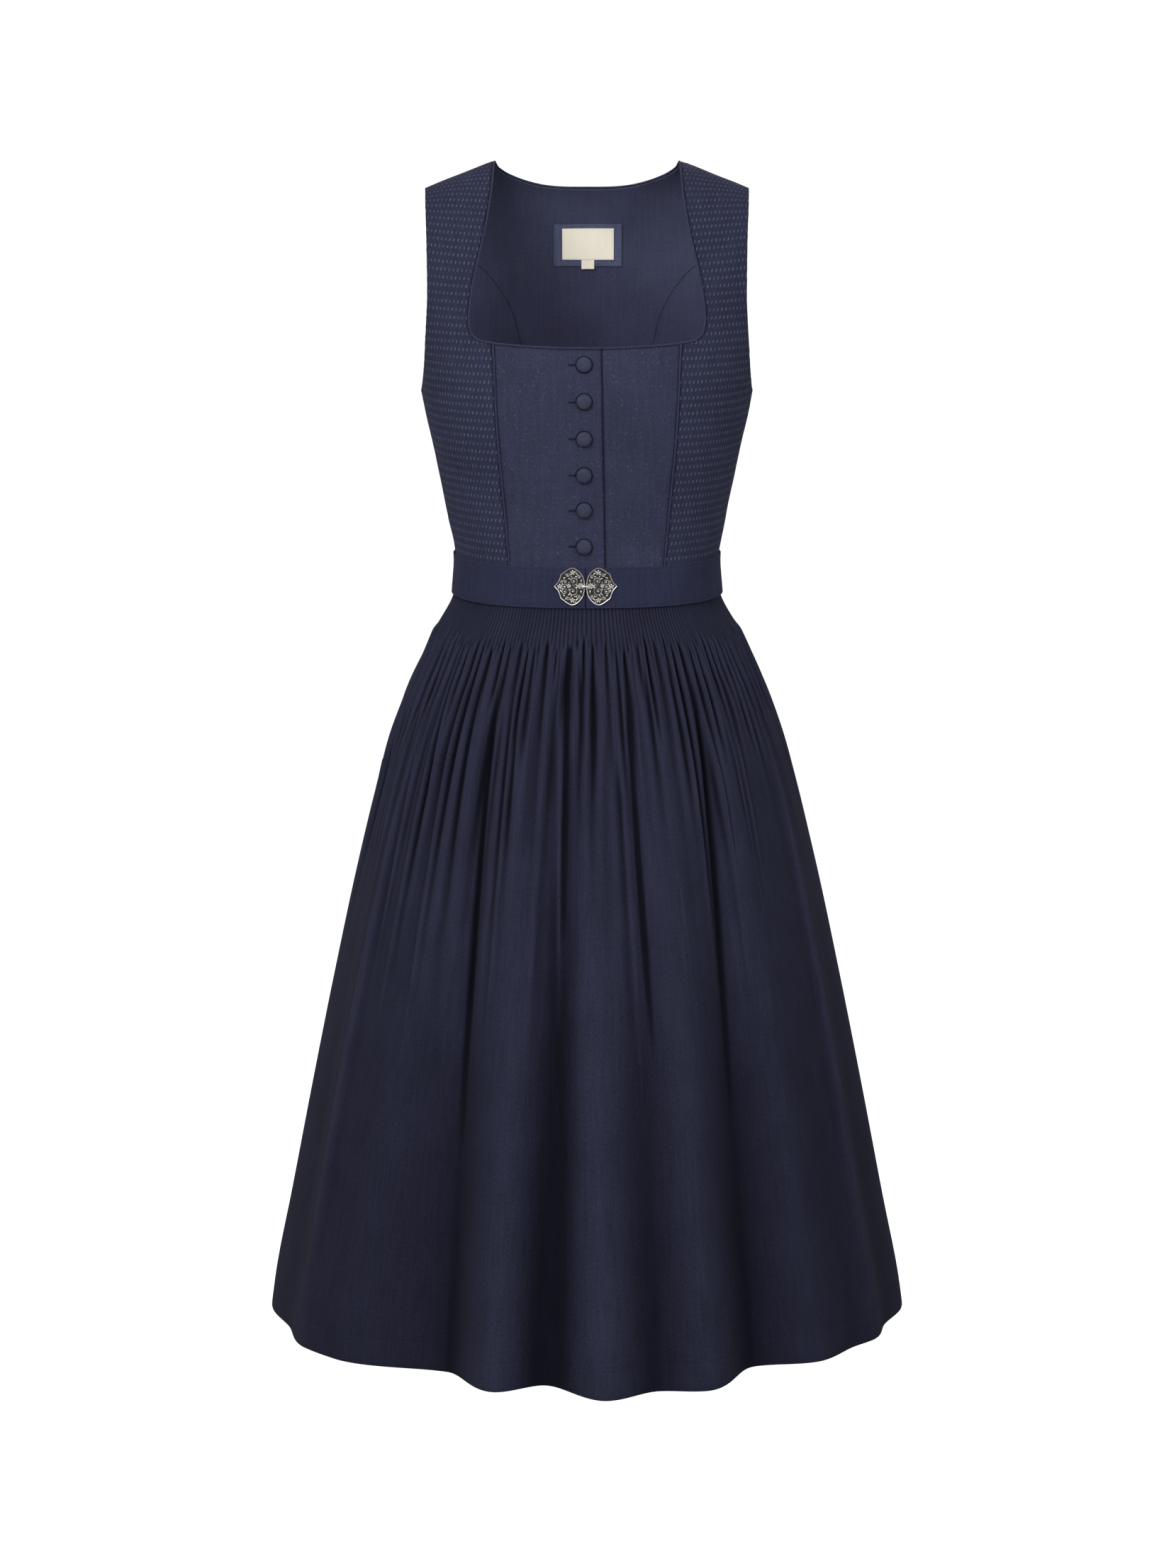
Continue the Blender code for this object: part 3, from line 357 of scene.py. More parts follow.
def cloth(name, colour, pitch, twill=0.0, rough=0.92, sheen=0.02, bump=0.5, yarns=0.42, patches=0.20,
          place=cloth_place, figure=None, paints_shading=False):
    """A woven cloth. figure may add (colour, mask socket) for a pattern that is woven in. The last flag
    paints light into the colour from a point attribute: painted shade above 0, a painted highlight below 0."""
    made, tree, surface = new_material(name)
    where = place(tree)
    dyed = group_node(tree, uneven_dye, {"Place": where, "Colour": (*colour, 1.0), "Yarns": yarns,
                                         "Patches": patches}).outputs["Colour"]
    height = group_node(tree, woven, {"Place": where, "Pitch": pitch, "Twill": twill}).outputs["Height"]
    base = tree.scaled(dyed, tree.ramp(height, 0.0, 1.0, 0.86, 1.12))
    if figure:
        figure_colour, mask = figure(tree, where)
        base = tree.mix(mask, base, (*figure_colour, 1.0))
        height = tree.times_plus(mask, 0.25, height)
    # Painted shade and highlight: darker and a little more purple where the point attribute is above 0,
    # lighter where it is below 0.
    if paints_shading:
        painted_shading = tree.add("ShaderNodeAttribute", attribute_name="painted_shading").outputs["Fac"]
        kept = tree.math("MAXIMUM", tree.times_plus(painted_shading, -0.72, 1.0), 0.22)
        shade_purple = tree.first("ShaderNodeVectorMath", {0: base, 1: (1.0, 0.94, 1.0)}, operation="MULTIPLY")
        tint = tree.add("ShaderNodeMix", {0: tree.ramp(painted_shading, 0.0, 0.5), 4: base, 5: shade_purple},
                        data_type="VECTOR")
        base = tree.scaled(tint.outputs[1], kept)
    lumps = tree.times_plus(tree.noise(where, 2600.0, 2.0), 0.6, height)
    raised = tree.first("ShaderNodeBump", {"Height": lumps, "Strength": bump, "Distance": 0.0004})
    tree.fill(surface, {"Base Color": base, "Normal": raised, "Roughness": rough, "IOR": 1.2,
                        "Specular IOR Level": 0.25, "Sheen Weight": sheen, "Sheen Roughness": 0.45,
                        "Sheen Tint": (0.75, 0.80, 1.0, 1.0)})
    return made


def thread(name, colour, **more):
    """A twisted thread: the same recipe, much finer."""
    return cloth(name, colour, 0.00030, place=object_place, bump=0.3, **more)


print("cloth recipe ready")

# %% [markdown]
# The dress is all one navy family, but no two cloths in it are equal: the bodice is lighter than
# the skirt, the lining is smooth, the piping is a twill. On the centre front the woven figure is
# worn down to small dots, which are moved about and only here and there clear. Each cloth differs
# from the next in colour, thread pitch, weave and figure, so one line each is enough.

# %% The cloths and threads of this dress


def dash_figure(tree, where):
    return (0.098, 0.108, 0.172), group_node(tree, dashes, {"Place": where}).outputs["Mask"]


def speckle_figure(tree, where):
    """The same figure worn down."""
    drift = {0: tree.noise(where, 210.0, 2.0, 1), 1: (0.011, 0.011, 0.0), 2: where}
    moved = tree.first("ShaderNodeVectorMath", drift, operation="MULTIPLY_ADD")
    dots = group_node(tree, dashes, {"Place": moved, "Step": 0.0042, "Row": 0.0046, "Width": 0.0010,
                                     "Length": 0.0014, "Slant": 0.3}).outputs["Mask"]
    clear = tree.ramp(tree.noise(where, 95.0, 2.0), 0.38, 0.62, 0.10, 0.9)
    return (0.060, 0.067, 0.112), tree.times(dots, clear)


FRONT_CLOTH = cloth("front_cloth", (0.0290, 0.0317, 0.0600), 0.00062, figure=speckle_figure, paints_shading=True)
SIDE_CLOTH = cloth("figured_cloth", (0.0250, 0.0279, 0.0526), 0.00062, figure=dash_figure, paints_shading=True)
PIPING_CLOTH = cloth("piping_cloth", (0.0310, 0.0347, 0.0646), 0.00050, twill=1.0, place=object_place)
LINING_CLOTH = cloth("lining_cloth", (0.0524, 0.0575, 0.1028), 0.00045, bump=0.35, yarns=0.3, paints_shading=True)
BELT_CLOTH = cloth("belt_cloth", (0.0211, 0.0239, 0.0487), 0.00050, bump=0.4)
BUTTON_CLOTH = cloth("button_cloth", (0.0355, 0.0393, 0.0676), 0.00062, place=object_place)
SKIRT_CLOTH = cloth("skirt_cloth", (0.0163, 0.0173, 0.0328), 0.00070, twill=1.0, yarns=0.5, paints_shading=True)
PATCH_CLOTH = cloth("patch_cloth", (0.0946, 0.1088, 0.1868), 0.00060, bump=0.7, yarns=0.4)
LABEL_CLOTH = cloth("label_cloth", (0.9858, 0.9222, 0.7704), 0.00040, rough=0.8, sheen=0.05, bump=0.25,
                    yarns=0.05, patches=0.03)
NAVY_THREAD = thread("navy_thread", (0.0420, 0.0460, 0.0800))
BUTTONHOLE_THREAD = thread("buttonhole_thread", (0.0240, 0.0262, 0.0460))
CREAM_THREAD = thread("cream_thread", (0.6800, 0.6300, 0.5000))
# Near-black colour that paints shadow: the cord in each buttonhole cut, and the ring round each button,
# partly thread and partly painted shadow.
SHADOW_AND_THREAD = thread("painted_shadow_and_thread", (0.0050, 0.0055, 0.0100), sheen=0.05)
HEM_THREAD = thread("hem_thread", (0.0110, 0.0115, 0.0210))
print("cloths:", [material.name for material in bpy.data.materials])

# %% [markdown]
# The bodice stands on one smooth form, as if worn. A row of the table is a station on the way from
# the front waist over the shoulder to the back waist, with its height, depth and width. A smooth
# curve through each column gives the form between the stations.

# %% The bodice's form
TORSO = (
    # z, y, half width, fullness, slope
    (-0.43, -0.1085, 0.1345, 0.22, 0.0),
    (-0.395, -0.1085, 0.1322, 0.22, 0.0),
    (-0.3524, -0.1105, 0.1396, 0.23, 0.0),
    (-0.3166, -0.1145, 0.1465, 0.24, 0.0),
    (-0.281, -0.119, 0.1541, 0.26, 0.0),
    (-0.2454, -0.1228, 0.1616, 0.28, 0.0),
    (-0.2277, -0.1235, 0.1652, 0.28, 0.0),
    (-0.2, -0.1225, 0.1715, 0.27, 0.0),
    (-0.17, -0.1188, 0.179, 0.25, 0.0),
    (-0.135, -0.111, 0.186, 0.22, 0.1),
    (-0.1, -0.099, 0.191, 0.18, 0.3),
    (-0.065, -0.082, 0.193, 0.14, 0.6),
    (-0.035, -0.061, 0.193, 0.1, 0.85),
    (-0.01, -0.033, 0.193, 0.06, 1.0),
    (0.0, 0.0, 0.193, 0.06, 1.0),
    (-0.009, 0.033, 0.193, 0.06, 1.0),
    (-0.032, 0.062, 0.193, 0.1, 0.85),
    (-0.065, 0.081, 0.193, 0.14, 0.6),
    (-0.1, 0.0925, 0.191, 0.18, 0.3),
    (-0.135, 0.099, 0.186, 0.2, 0.1),
    (-0.17, 0.1015, 0.179, 0.22, 0.0),
    (-0.2, 0.1015, 0.1715, 0.22, 0.0),
    (-0.2277, 0.1, 0.1652, 0.22, 0.0),
    (-0.2454, 0.0985, 0.1616, 0.22, 0.0),
    (-0.281, 0.095, 0.1541, 0.2, 0.0),
    (-0.3166, 0.091, 0.1465, 0.18, 0.0),
    (-0.3524, 0.0875, 0.1396, 0.16, 0.0),
    (-0.395, 0.085, 0.1322, 0.15, 0.0),
    (-0.43, 0.085, 0.1345, 0.15, 0.0),
)
SHOULDER_ROW = 14
NECK_X = 0.0925
SHOULDER_SLOPE = 0.41
SOFT_NECK = 0.006     # rounds the line where the shoulder starts to slope


class Curve:
    """A smooth curve through the values of one column, for single numbers and for arrays."""

    def __init__(self, knots, values):
        self.knots = np.asarray(knots, float)
        self.values = np.asarray(values, float)
        width = np.diff(self.knots)
        rise = np.diff(self.values) / width
        inner = (rise[1:] * width[:-1] + rise[:-1] * width[1:]) / (width[1:] + width[:-1])
        self.slopes = np.concatenate([rise[:1], inner, rise[-1:]])

    def __call__(self, at):
        at = np.asarray(at, float)
        i = np.clip(np.searchsorted(self.knots, at) - 1, 0, len(self.knots) - 2)
        width = self.knots[i + 1] - self.knots[i]
        t = (at - self.knots[i]) / width
        start = self.values[i] * (1 + 2 * t) + self.slopes[i] * width * t
        end = self.values[i + 1] * (3 - 2 * t) + self.slopes[i + 1] * width * (t - 1)
        return start * (1 - t) ** 2 + end * t * t


def columns(table):
    return np.array(table, float).T


def walk_along(points):
    """How far each point of a line is from the first one, measured along the line."""
    steps = np.linalg.norm(np.diff(points, axis=0), axis=-1)
    return np.concatenate([[0.0], np.cumsum(steps)])


def unit(vectors):
    return vectors / np.linalg.norm(vectors, axis=-1, keepdims=True)


TORSO_COLUMNS = columns(TORSO)
walked = walk_along(TORSO_COLUMNS[:2].T)
walked -= walked[SHOULDER_ROW]
HEIGHT, DEPTH, HALF, FULL, SLOPE = (Curve(walked, values) for values in TORSO_COLUMNS)


def eased(t):
    t = np.clip(t, 0.0, 1.0)
    return t * t * (3.0 - 2.0 * t)


def shoulder_drop(s, reach):
    past = reach - NECK_X
    return SHOULDER_SLOPE * SLOPE(s) * 0.5 * (past + np.sqrt(past * past + SOFT_NECK ** 2))


def torso(s, angle):
    """Points of the form at a distance s over the shoulder and an angle round it."""
    sine, cosine = np.sin(angle), np.cos(angle)
    x = HALF(s) * sine
    y = DEPTH(s) * cosine * (1.0 + FULL(s) * sine * sine)
    return np.stack([x, y, HEIGHT(s) - shoulder_drop(s, np.abs(x))], axis=-1)


def torso_normal(s, angle):
    step = 0.0005
    along = torso(s + step, angle) - torso(s - step, angle)
    around = torso(s, angle + step) - torso(s, angle - step)
    return unit(np.cross(around, along))


print("over the shoulder", (walked[-1] - walked[0]).round(3), "m")

# %% [markdown]
# A seam is known by how far it lies from the middle at each height. So a place is asked for by side,
# x and z, and found on the form by halving the distance again and again. Every panel, cord and
# button is laid on the form in this way, so that neighbours fit as they do on the sewn dress.

# %% Places on the form
SIDE = 9.0            # stands for the side seam in a column of x
HALVINGS = 36


def place(side, x, z):
    """The places (s, angle) on the front or the back that lie at x and z."""
    x, z = np.broadcast_arrays(np.asarray(x, float), np.asarray(z, float))
    sign = -1.0 if side == "front" else 1.0
    on_side = np.abs(x) == SIDE
    reach = np.where(on_side, 0.0, np.abs(x))
    low = np.zeros(x.shape)
    high = np.full(x.shape, abs(walked[0] if side == "front" else walked[-1]))
    for _ in range(HALVINGS):
        middle = 0.5 * (low + high)
        above = HEIGHT(sign * middle) - shoulder_drop(sign * middle, reach) > z
        low, high = np.where(above, middle, low), np.where(above, high, middle)
    s = np.where(z >= 0.0, 0.0, sign * 0.5 * (low + high))
    turned = np.arcsin(np.clip(x / HALF(s), -1.0, 1.0))
    return np.stack([s, np.where(on_side, np.copysign(math.pi / 2, x), turned)], axis=-1)


def form_at(places):
    return torso(*np.moveaxis(places, -1, 0))


def on_form(places):
    """Points of the form at places (s, angle), and the direction out of the dress there."""
    return form_at(places), torso_normal(*np.moveaxis(places, -1, 0))


def round_length(s, angle):
    """How far a place is from the centre line, measured round the form."""
    share = np.linspace(0.0, 1.0, 25)
    line = torso(s[..., None] + 0.0 * share, angle[..., None] * share)
    return np.sign(angle) * np.linalg.norm(np.diff(line, axis=-2), axis=-1).sum(axis=-1)


quarter = round_length(np.array([TORSO[6][0]]), np.array([math.pi / 2]))
print("bust round", round(4 * float(np.abs(quarter)[0]), 3))

# %% [markdown]
# A sewn cloth edge isn't a knife cut. The cloth is folded back, so its edge is round, and where two
# panels meet their rounded edges leave a fine groove. The rows of a panel therefore have a few
# nodes very close to each edge. The first lies a hair beyond it, so that no light comes through
# between two panels.

# %% Rows across a panel
SHELL = 0.0013
SEAM_GAP = 0.0003
LAYER_GAP = 0.0004
EDGE_STEPS = np.array([-0.0002, 0.0002, 0.0006, 0.0013, 0.0024])
PLAIN_STEPS = np.array([0.0, 0.0010, 0.0020, 0.0032, 0.0046])
STEPS_SHARE = 0.3     # the most that the steps at one edge take of a narrow row


def row_shares(width, count, first_steps, last_steps):
    """Shares along rows of the given widths, dense at both ends."""
    width = np.maximum(width, 1e-6)[:, None]
    first, last = (steps * np.minimum(1.0 / width, STEPS_SHARE / steps[-1])
                   for steps in (first_steps, last_steps))
    last = 1.0 - last[:, ::-1]
    middle = np.linspace(0.0, 1.0, count + 2)[1:-1]
    return np.concatenate([first, first[:, -1:] + (last[:, :1] - first[:, -1:]) * middle, last], axis=1)


def rows_between(start, end, count, first_steps=EDGE_STEPS, last_steps=EDGE_STEPS):
    """Places on rows from one edge of a panel to the other, and how far each is from both edges."""
    width = np.linalg.norm(form_at(end) - form_at(start), axis=-1)
    share = row_shares(width, count, first_steps, last_steps)
    places = start[:, None] + (end - start)[:, None] * share[..., None]
    return places, share * width[:, None], (1.0 - share) * width[:, None]


def along_edge(rows, corners, fine):
    """Places along an edge, several to a row of its table, smooth but for the named corners."""
    rows = np.asarray(rows, float)
    cuts = [0, *corners, len(rows) - 1]
    parts = []
    for first, last in zip(cuts, cuts[1:]):
        at = first + np.arange((last - first) * fine + (last == len(rows) - 1)) / fine
        part = [Curve(np.arange(first, last + 1), rows[first:last + 1, k])(at) for k in (0, 1)]
        parts.append(np.stack(part, axis=-1))
    return np.concatenate(parts)


print("nodes near an edge, in mm:", EDGE_STEPS * 1000)

# %% [markdown]
# Near a folded edge the outer face sinks along a quarter circle. Beside a seam the stitches draw
# the cloth into small puckers, which fade within a centimetre. A fitted bodice also has a few soft
# folds, mostly under the arms and at the waist, where it is drawn in.

# %% Folded edges, puckers and soft folds
PUCKER_REACH = 0.006
PUCKER = 0.00013


def edge_sink(distance):
    """How far the outer face sinks at a distance from a folded edge."""
    radius = 0.55 * SHELL
    inside = np.clip(1.0 - distance / radius, 0.0, 1.0)
    return radius * (1.0 - np.sqrt(1.0 - inside * inside))


def puckers(s, angle, distance):
    """Small bumps along a seam, uneven and different at every seam."""
    a = s * TURN + 3.0 * angle
    wave = np.sin(a / 0.0117) + 0.7 * np.sin(a / 0.0079 + 1.3) + 0.5 * np.sin(a / 0.0203 + 2.1)
    return PUCKER * wave * np.exp(-distance / PUCKER_REACH)


# From (x, z) to (x, z), height, half width
BODICE_FOLDS = {
    "front": (
        (-0.152, -0.226, -0.118, -0.214, -0.0011, 0.005),
        (0.155, -0.229, 0.121, -0.218, -0.001, 0.005),
        (-0.156, -0.214, -0.129, -0.19, 0.0009, 0.0055),
        (0.158, -0.216, 0.132, -0.193, 0.0009, 0.0055),
        (-0.146, -0.292, -0.112, -0.301, -0.0009, 0.005),
        (0.147, -0.3, 0.115, -0.306, -0.0008, 0.005),
        (-0.137, -0.35, -0.098, -0.357, -0.0009, 0.0045),
        (0.136, -0.343, 0.101, -0.352, -0.0009, 0.0045),
        (-0.064, -0.207, -0.02, -0.191, -0.0007, 0.0055),
        (0.07, -0.212, 0.028, -0.196, -0.0006, 0.0055),
        (-0.06, -0.311, -0.018, -0.3, -0.0006, 0.005),
        (-0.06, -0.374, -0.022, -0.37, -0.0007, 0.0045),
        (0.064, -0.372, 0.03, -0.366, -0.0007, 0.0045),
    ),
    "back": (
        (-0.15, -0.236, -0.112, -0.222, -0.0011, 0.0055),
        (0.151, -0.231, 0.114, -0.219, -0.001, 0.0055),
        (-0.04, -0.345, 0.042, -0.349, -0.001, 0.006),
        (-0.036, -0.364, 0.033, -0.368, 0.0008, 0.005),
        (-0.128, -0.336, -0.08, -0.352, -0.0009, 0.0055),
        (0.126, -0.342, 0.082, -0.355, -0.0009, 0.0055),
        (-0.075, -0.118, -0.03, -0.15, -0.0008, 0.009),
        (0.078, -0.121, 0.034, -0.152, -0.0008, 0.009),
    ),
}


def bodice_folds(side, x, z):
    """Height of the soft folds at places of one side."""
    total = 0.00025 * (np.sin(61 * x + 83 * z) + np.sin(97 * z - 43 * x + 1.7) * np.cos(71 * x))
    for x1, z1, x2, z2, height, half_width in BODICE_FOLDS[side]:
        along = np.array([x2 - x1, z2 - z1])
        length = np.hypot(*along)
        along = along / length
        t = ((x - x1) * along[0] + (z - z1) * along[1]) / length
        off = (x - x1) * -along[1] + (z - z1) * along[0]
        fade = eased((t + 0.25) / 0.5) * eased((1.25 - t) / 0.5)
        total = total + height * fade * np.exp(-(off / half_width) ** 2)
    return total


print("soft folds:", {side: len(rows) for side, rows in BODICE_FOLDS.items()})

# %% [markdown]
# A panel is a closed wall of real thickness: an outer face, an inner face and a narrow wall round
# the border. It may be drawn as several grids, whose shared nodes are merged. Its flat coordinates
# are measured on the form, as the cloth would be cut, and give its flat size as well.

# %% Cloth walls on the form
# Painted shade along sewn edges: its strength on outer panels and on the lining, and its reach
SEAM_SHADE, LINING_SHADE, SEAM_SHADE_REACH = 0.75, 0.20, 0.0011
NODE_GRAIN = 2e5      # nodes closer than one part of this are the same
WALL_SHARP = 55.0


def store(mesh, name, values, kind="FLOAT"):
    """Keeps a value, or a direction, for every point of a mesh."""
    key = "value" if kind == "FLOAT" else "vector"
    mesh.attributes.new(name, kind, "POINT").data.foreach_set(key, np.ravel(values))


def lay_flat(mesh, flat):
    """Gives every point of a mesh its flat place on the cloth."""
    corners = np.empty(len(mesh.loops), int)
    mesh.loops.foreach_get("vertex_index", corners)
    mesh.uv_layers.new(name="cloth").data.foreach_set("uv", flat[corners].astype(np.float32).ravel())


def flat_pattern(places):
    """Flat coordinates of a panel in metres, as cut, for its weave."""
    s, angle = places[:, 0], places[:, 1]
    u = round_length(s, angle)
    lean = 0.5 * SLOPE(s) * np.maximum(0.0, np.abs(u) - NECK_X)
    return np.stack([u, np.where(s < 0.0, s, -s) - lean], axis=-1)


def nothing(x, z):
    return 0.0 * x


def merged(grids):
    """The places and edge distances of all grids, and the faces of the net they make together."""
    places = np.concatenate([grid.reshape(-1, 2) for grid, _ in grids])
    edge = np.concatenate([near.reshape(-1) for _, near in grids])
    quads, start = [], 0
    for grid, _ in grids:
        number = start + np.arange(grid.shape[0] * grid.shape[1]).reshape(grid.shape[:2])
        around = [number[:-1, :-1], number[:-1, 1:], number[1:, 1:], number[1:, :-1]]
        quads.append(np.stack(around, -1).reshape(-1, 4))
        start += number.size
    _, first, same = np.unique(np.round(places * NODE_GRAIN).astype(np.int64), axis=0,
                               return_index=True, return_inverse=True)
    return places[first], edge[first], same.reshape(-1)[np.concatenate(quads)]


def wall_faces(quads, count):
    """The outer faces, and all faces: outer, inner and the border between them."""
    ahead = {(a, b) for quad in quads for a, b in zip(quad, quad[1:] + quad[:1])}
    border = [(a, b) for a, b in ahead if (b, a) not in ahead and a != b]
    outer = [tuple(dict.fromkeys(quad)) for quad in quads]
    outer = [face for face in outer if len(face) > 2]
    inner = [tuple(i + count for i in face[::-1]) for face in outer]
    return outer, outer + inner + [(b, a, a + count, b + count) for a, b in sorted(border)]


def cloth_mesh(name, side, grids, depth, wall, materials, lift=nothing, shade=nothing):
    """A closed cloth wall. A grid is (places, distance to the nearest sewn edge).

    The seen face, which is the inner one for a lining, sinks towards the edges. Painted shade makes it
    darker in the groove, and more painted shade comes from the shade function."""
    places, edge, quads = merged(grids)
    base, normal = on_form(places)
    corner = base[quads]
    facing = np.cross(corner[:, 2] - corner[:, 0], corner[:, 3] - corner[:, 1])
    turned = np.einsum("ij,ij->i", facing, normal[quads[:, 0]])
    quads[turned < 0.0] = quads[turned < 0.0][:, ::-1]
    x, z = base[:, 0], base[:, 2]
    form = lift(x, z) - depth + bodice_folds(side, x, z) + puckers(*places.T, edge)
    inside, sink = depth > 0.0, edge_sink(edge)
    outer = base + normal * (form - (0.0 if inside else sink))[:, None]
    inner = base + normal * (form - wall + (sink if inside else 0.0))[:, None]
    seen, faces = wall_faces(quads.tolist(), len(base))
    piece = new_piece(name, np.concatenate([outer, inner]), faces, materials, WALL_SHARP)
    mesh = piece.data
    flat = flat_pattern(places)
    lay_flat(mesh, np.concatenate([flat, flat]))
    # Painted shade, kept for the colour as a point attribute: dark along the sewn edges, plus the shade
    # function
    seam = (LINING_SHADE if inside else SEAM_SHADE) * np.exp(-(edge / SEAM_SHADE_REACH) ** 2)
    painted_shading = np.clip(seam + shade(x, z), 0.0, 1.0)
    store(mesh, "painted_shading", np.concatenate([painted_shading, painted_shading]))
    lining_face = np.zeros(len(faces), np.int32)
    lining_face[len(seen):2 * len(seen)] = len(materials) - 1
    mesh.polygons.foreach_set("material_index", lining_face)
    area = sum(face.area for face in mesh.polygons[:len(seen)])
    spans = flat.max(axis=0) - flat.min(axis=0)
    print("  flat", spans.round(3), "area", round(area, 4))
    return piece, spans, area


def panel(node, side, grids, materials, lift=nothing, shade=nothing, depth=0.0, wall=SHELL,
          slot="bodice_cloth"):
    """A panel in the place of its solid."""
    piece, spans, area = cloth_mesh(f"{node}_cloth", side, grids, depth, wall, materials, lift, shade)
    dress_piece(piece, slot, node)


# %% [markdown]
# The two centre fronts close with buttons. The wearer's right one lies on top, so it rises by the
# thickness of the cloth before it passes over the left one. At the waist both must lie flat under
# the belt, and there the left one sinks instead. The free edge of the top one is a folded edge
# that throws a fine shadow, as in the photograph, and a painted shadow darkens the left front beside it.

# %% How the fronts overlap
WAIST_Z = -0.4120
BELT_TOP = -0.3900
NECK_FRONT_Z = -0.1743
OVERLAP = SHELL + LAYER_GAP
OVERLAP_EDGE, OVERLAP_LEAN = 0.0137, 0.0185
RISE_X, RISE_RUN, SINK_X, SINK_RUN = -0.0450, 0.0270, 0.0480, 0.0260
FLATTEN_Z, FLATTEN_RUN = -0.3300, 0.0550


def layered(z):
    return eased((FLATTEN_Z - z) / FLATTEN_RUN)


def over_lift(x, z):
    return OVERLAP * eased((x - RISE_X) / RISE_RUN) * (1.0 - layered(z))


def under_lift(x, z):
    return -OVERLAP * eased((SINK_X - x) / SINK_RUN) * layered(z)


def overlap_edge(z):
    return OVERLAP_EDGE + OVERLAP_LEAN * (NECK_FRONT_Z - z)


def placket_shade(x, z):
    """Painted shadow on the left front, where the free edge of the right front throws its shadow."""
    return 0.72 * np.exp(-((x - overlap_edge(z) - 0.0006) / 0.0011) ** 2)


print("the right front covers the left one up to x", OVERLAP_EDGE)

# %% [markdown]
# Each centre front reaches from the piped seam past the middle. Its rows run level across the
# piece and lean at the top with the curve of the neck. The left one has more nodes just where the
# shadow of the right one falls, so that its painted shadow stays sharp.

# %% Centre fronts
NECK_FRONT_RISE = 0.46
FRONT_CORD = 0.0011
UNDER_EDGE_X = -0.0160
FRONT_ROWS, FRONT_ACROSS = 92, 46
SHADOW_STEPS = (-0.0012, -0.0004, 0.0003, 0.0010, 0.0018, 0.0027)
FRONT_SEAM = (
    # z, x
    (-0.1704, 0.0915), (-0.195, 0.0903), (-0.23, 0.089), (-0.265, 0.087),
    (-0.3, 0.084), (-0.338, 0.0807), (-0.376, 0.0777), (WAIST_Z, 0.0755),
)
front_seam_z, front_seam_x = columns(FRONT_SEAM)
FRONT_SEAM_X = Curve(-front_seam_z, front_seam_x)


def front_grid(left_x, right_x, extra=()):
    """Rows from the neck edge down to the waist, between two edges given as functions of height.

    extra are distances from the overlap's edge at which a row gets further nodes."""
    height = NECK_FRONT_Z - WAIST_Z
    down = row_shares(np.array([height]), FRONT_ROWS, EDGE_STEPS, PLAIN_STEPS)[0]
    level = NECK_FRONT_Z - height * down
    start, end = left_x(level), right_x(level)
    width = (end - start)[:, None]
    x = start[:, None] + width * row_shares(end - start, FRONT_ACROSS, EDGE_STEPS, EDGE_STEPS)
    x = np.concatenate([x, overlap_edge(level)[:, None] + np.array(extra)[None]], axis=1)
    x = np.sort(x, axis=1)
    share = (x - start[:, None]) / width
    t = down[:, None]
    z = (NECK_FRONT_Z + NECK_FRONT_RISE * x * x) * (1.0 - t) + WAIST_Z * t
    return place("front", x, z), np.minimum(np.minimum(share, 1.0 - share) * width, t * height)


RIGHT_FRONT = front_grid(lambda z: FRONT_CORD - FRONT_SEAM_X(-z), overlap_edge)
LEFT_FRONT = front_grid(lambda z: UNDER_EDGE_X + 0.0 * z, lambda z: FRONT_SEAM_X(-z) - FRONT_CORD,
                        SHADOW_STEPS)
panel("front_right", "front", [RIGHT_FRONT], [FRONT_CLOTH, LINING_CLOTH], over_lift)
panel("front_left", "front", [LEFT_FRONT], [FRONT_CLOTH, LINING_CLOTH], under_lift, placket_shade)

# %% [markdown]
# A side front reaches from the piped seam to the side seam and runs up into the strap. Each table
# row gives the two ends of one line across the piece. A smooth curve runs along each edge, with a
# corner kept where the neck edge turns into the piped seam and where the armhole ends.

# %% Side fronts with straps
STRAP_X = 0.1600
SIDE_FRONT_STRAP = (
    # inner x, inner z, outer x, outer z
    (NECK_X, 0.0, STRAP_X, 0.0),
    (0.094, -0.018, 0.1594, -0.041),
    (0.0962, -0.0365, 0.1586, -0.057),
    (0.1, -0.059, 0.1577, -0.074),
    (0.1049, -0.08, 0.1571, -0.09),
    (0.1095, -0.1, 0.1568, -0.106),
    (0.1135, -0.12, 0.1568, -0.122),
    (0.1158, -0.14, 0.1571, -0.136),
    (0.116, -0.151, 0.1576, -0.148),
    (0.1135, -0.161, 0.1582, -0.16),
    (0.1068, -0.1674, 0.159, -0.173),
    (0.099, -0.1694, 0.16, -0.188),
)
SIDE_FRONT_BODY = (
    # seam z, outer x, outer z
    (-0.1704, 0.1616, -0.204), (-0.183, 0.1631, -0.2165), (-0.198, 0.1645, -0.2245),
    (-0.216, SIDE, -0.228), (-0.237, SIDE, -0.253), (-0.261, SIDE, -0.278),
    (-0.287, SIDE, -0.304), (-0.32, SIDE, -0.333), (-0.356, SIDE, -0.362),
    (BELT_TOP, SIDE, BELT_TOP), (WAIST_Z, SIDE, WAIST_Z),
)
FINE = 5              # rows to one row of a table
PANEL_ACROSS = 34
ARMHOLE_ENDS = 3      # in this row of the body table
MIRROR = np.array([1.0, -1.0])


def side_front_rows():
    inner, outer = [], []
    for inner_x, inner_z, outer_x, outer_z in SIDE_FRONT_STRAP:
        inner.append(place("front", inner_x, inner_z))
        outer.append(place("front", outer_x, outer_z))
    for seam_z, outer_x, outer_z in SIDE_FRONT_BODY:
        inner.append(place("front", FRONT_SEAM_X(-seam_z) + FRONT_CORD, seam_z))
        outer.append(place("front", outer_x, outer_z))
    strap = len(SIDE_FRONT_STRAP)
    return along_edge(inner, [strap], FINE), along_edge(outer, [strap + ARMHOLE_ENDS], FINE)


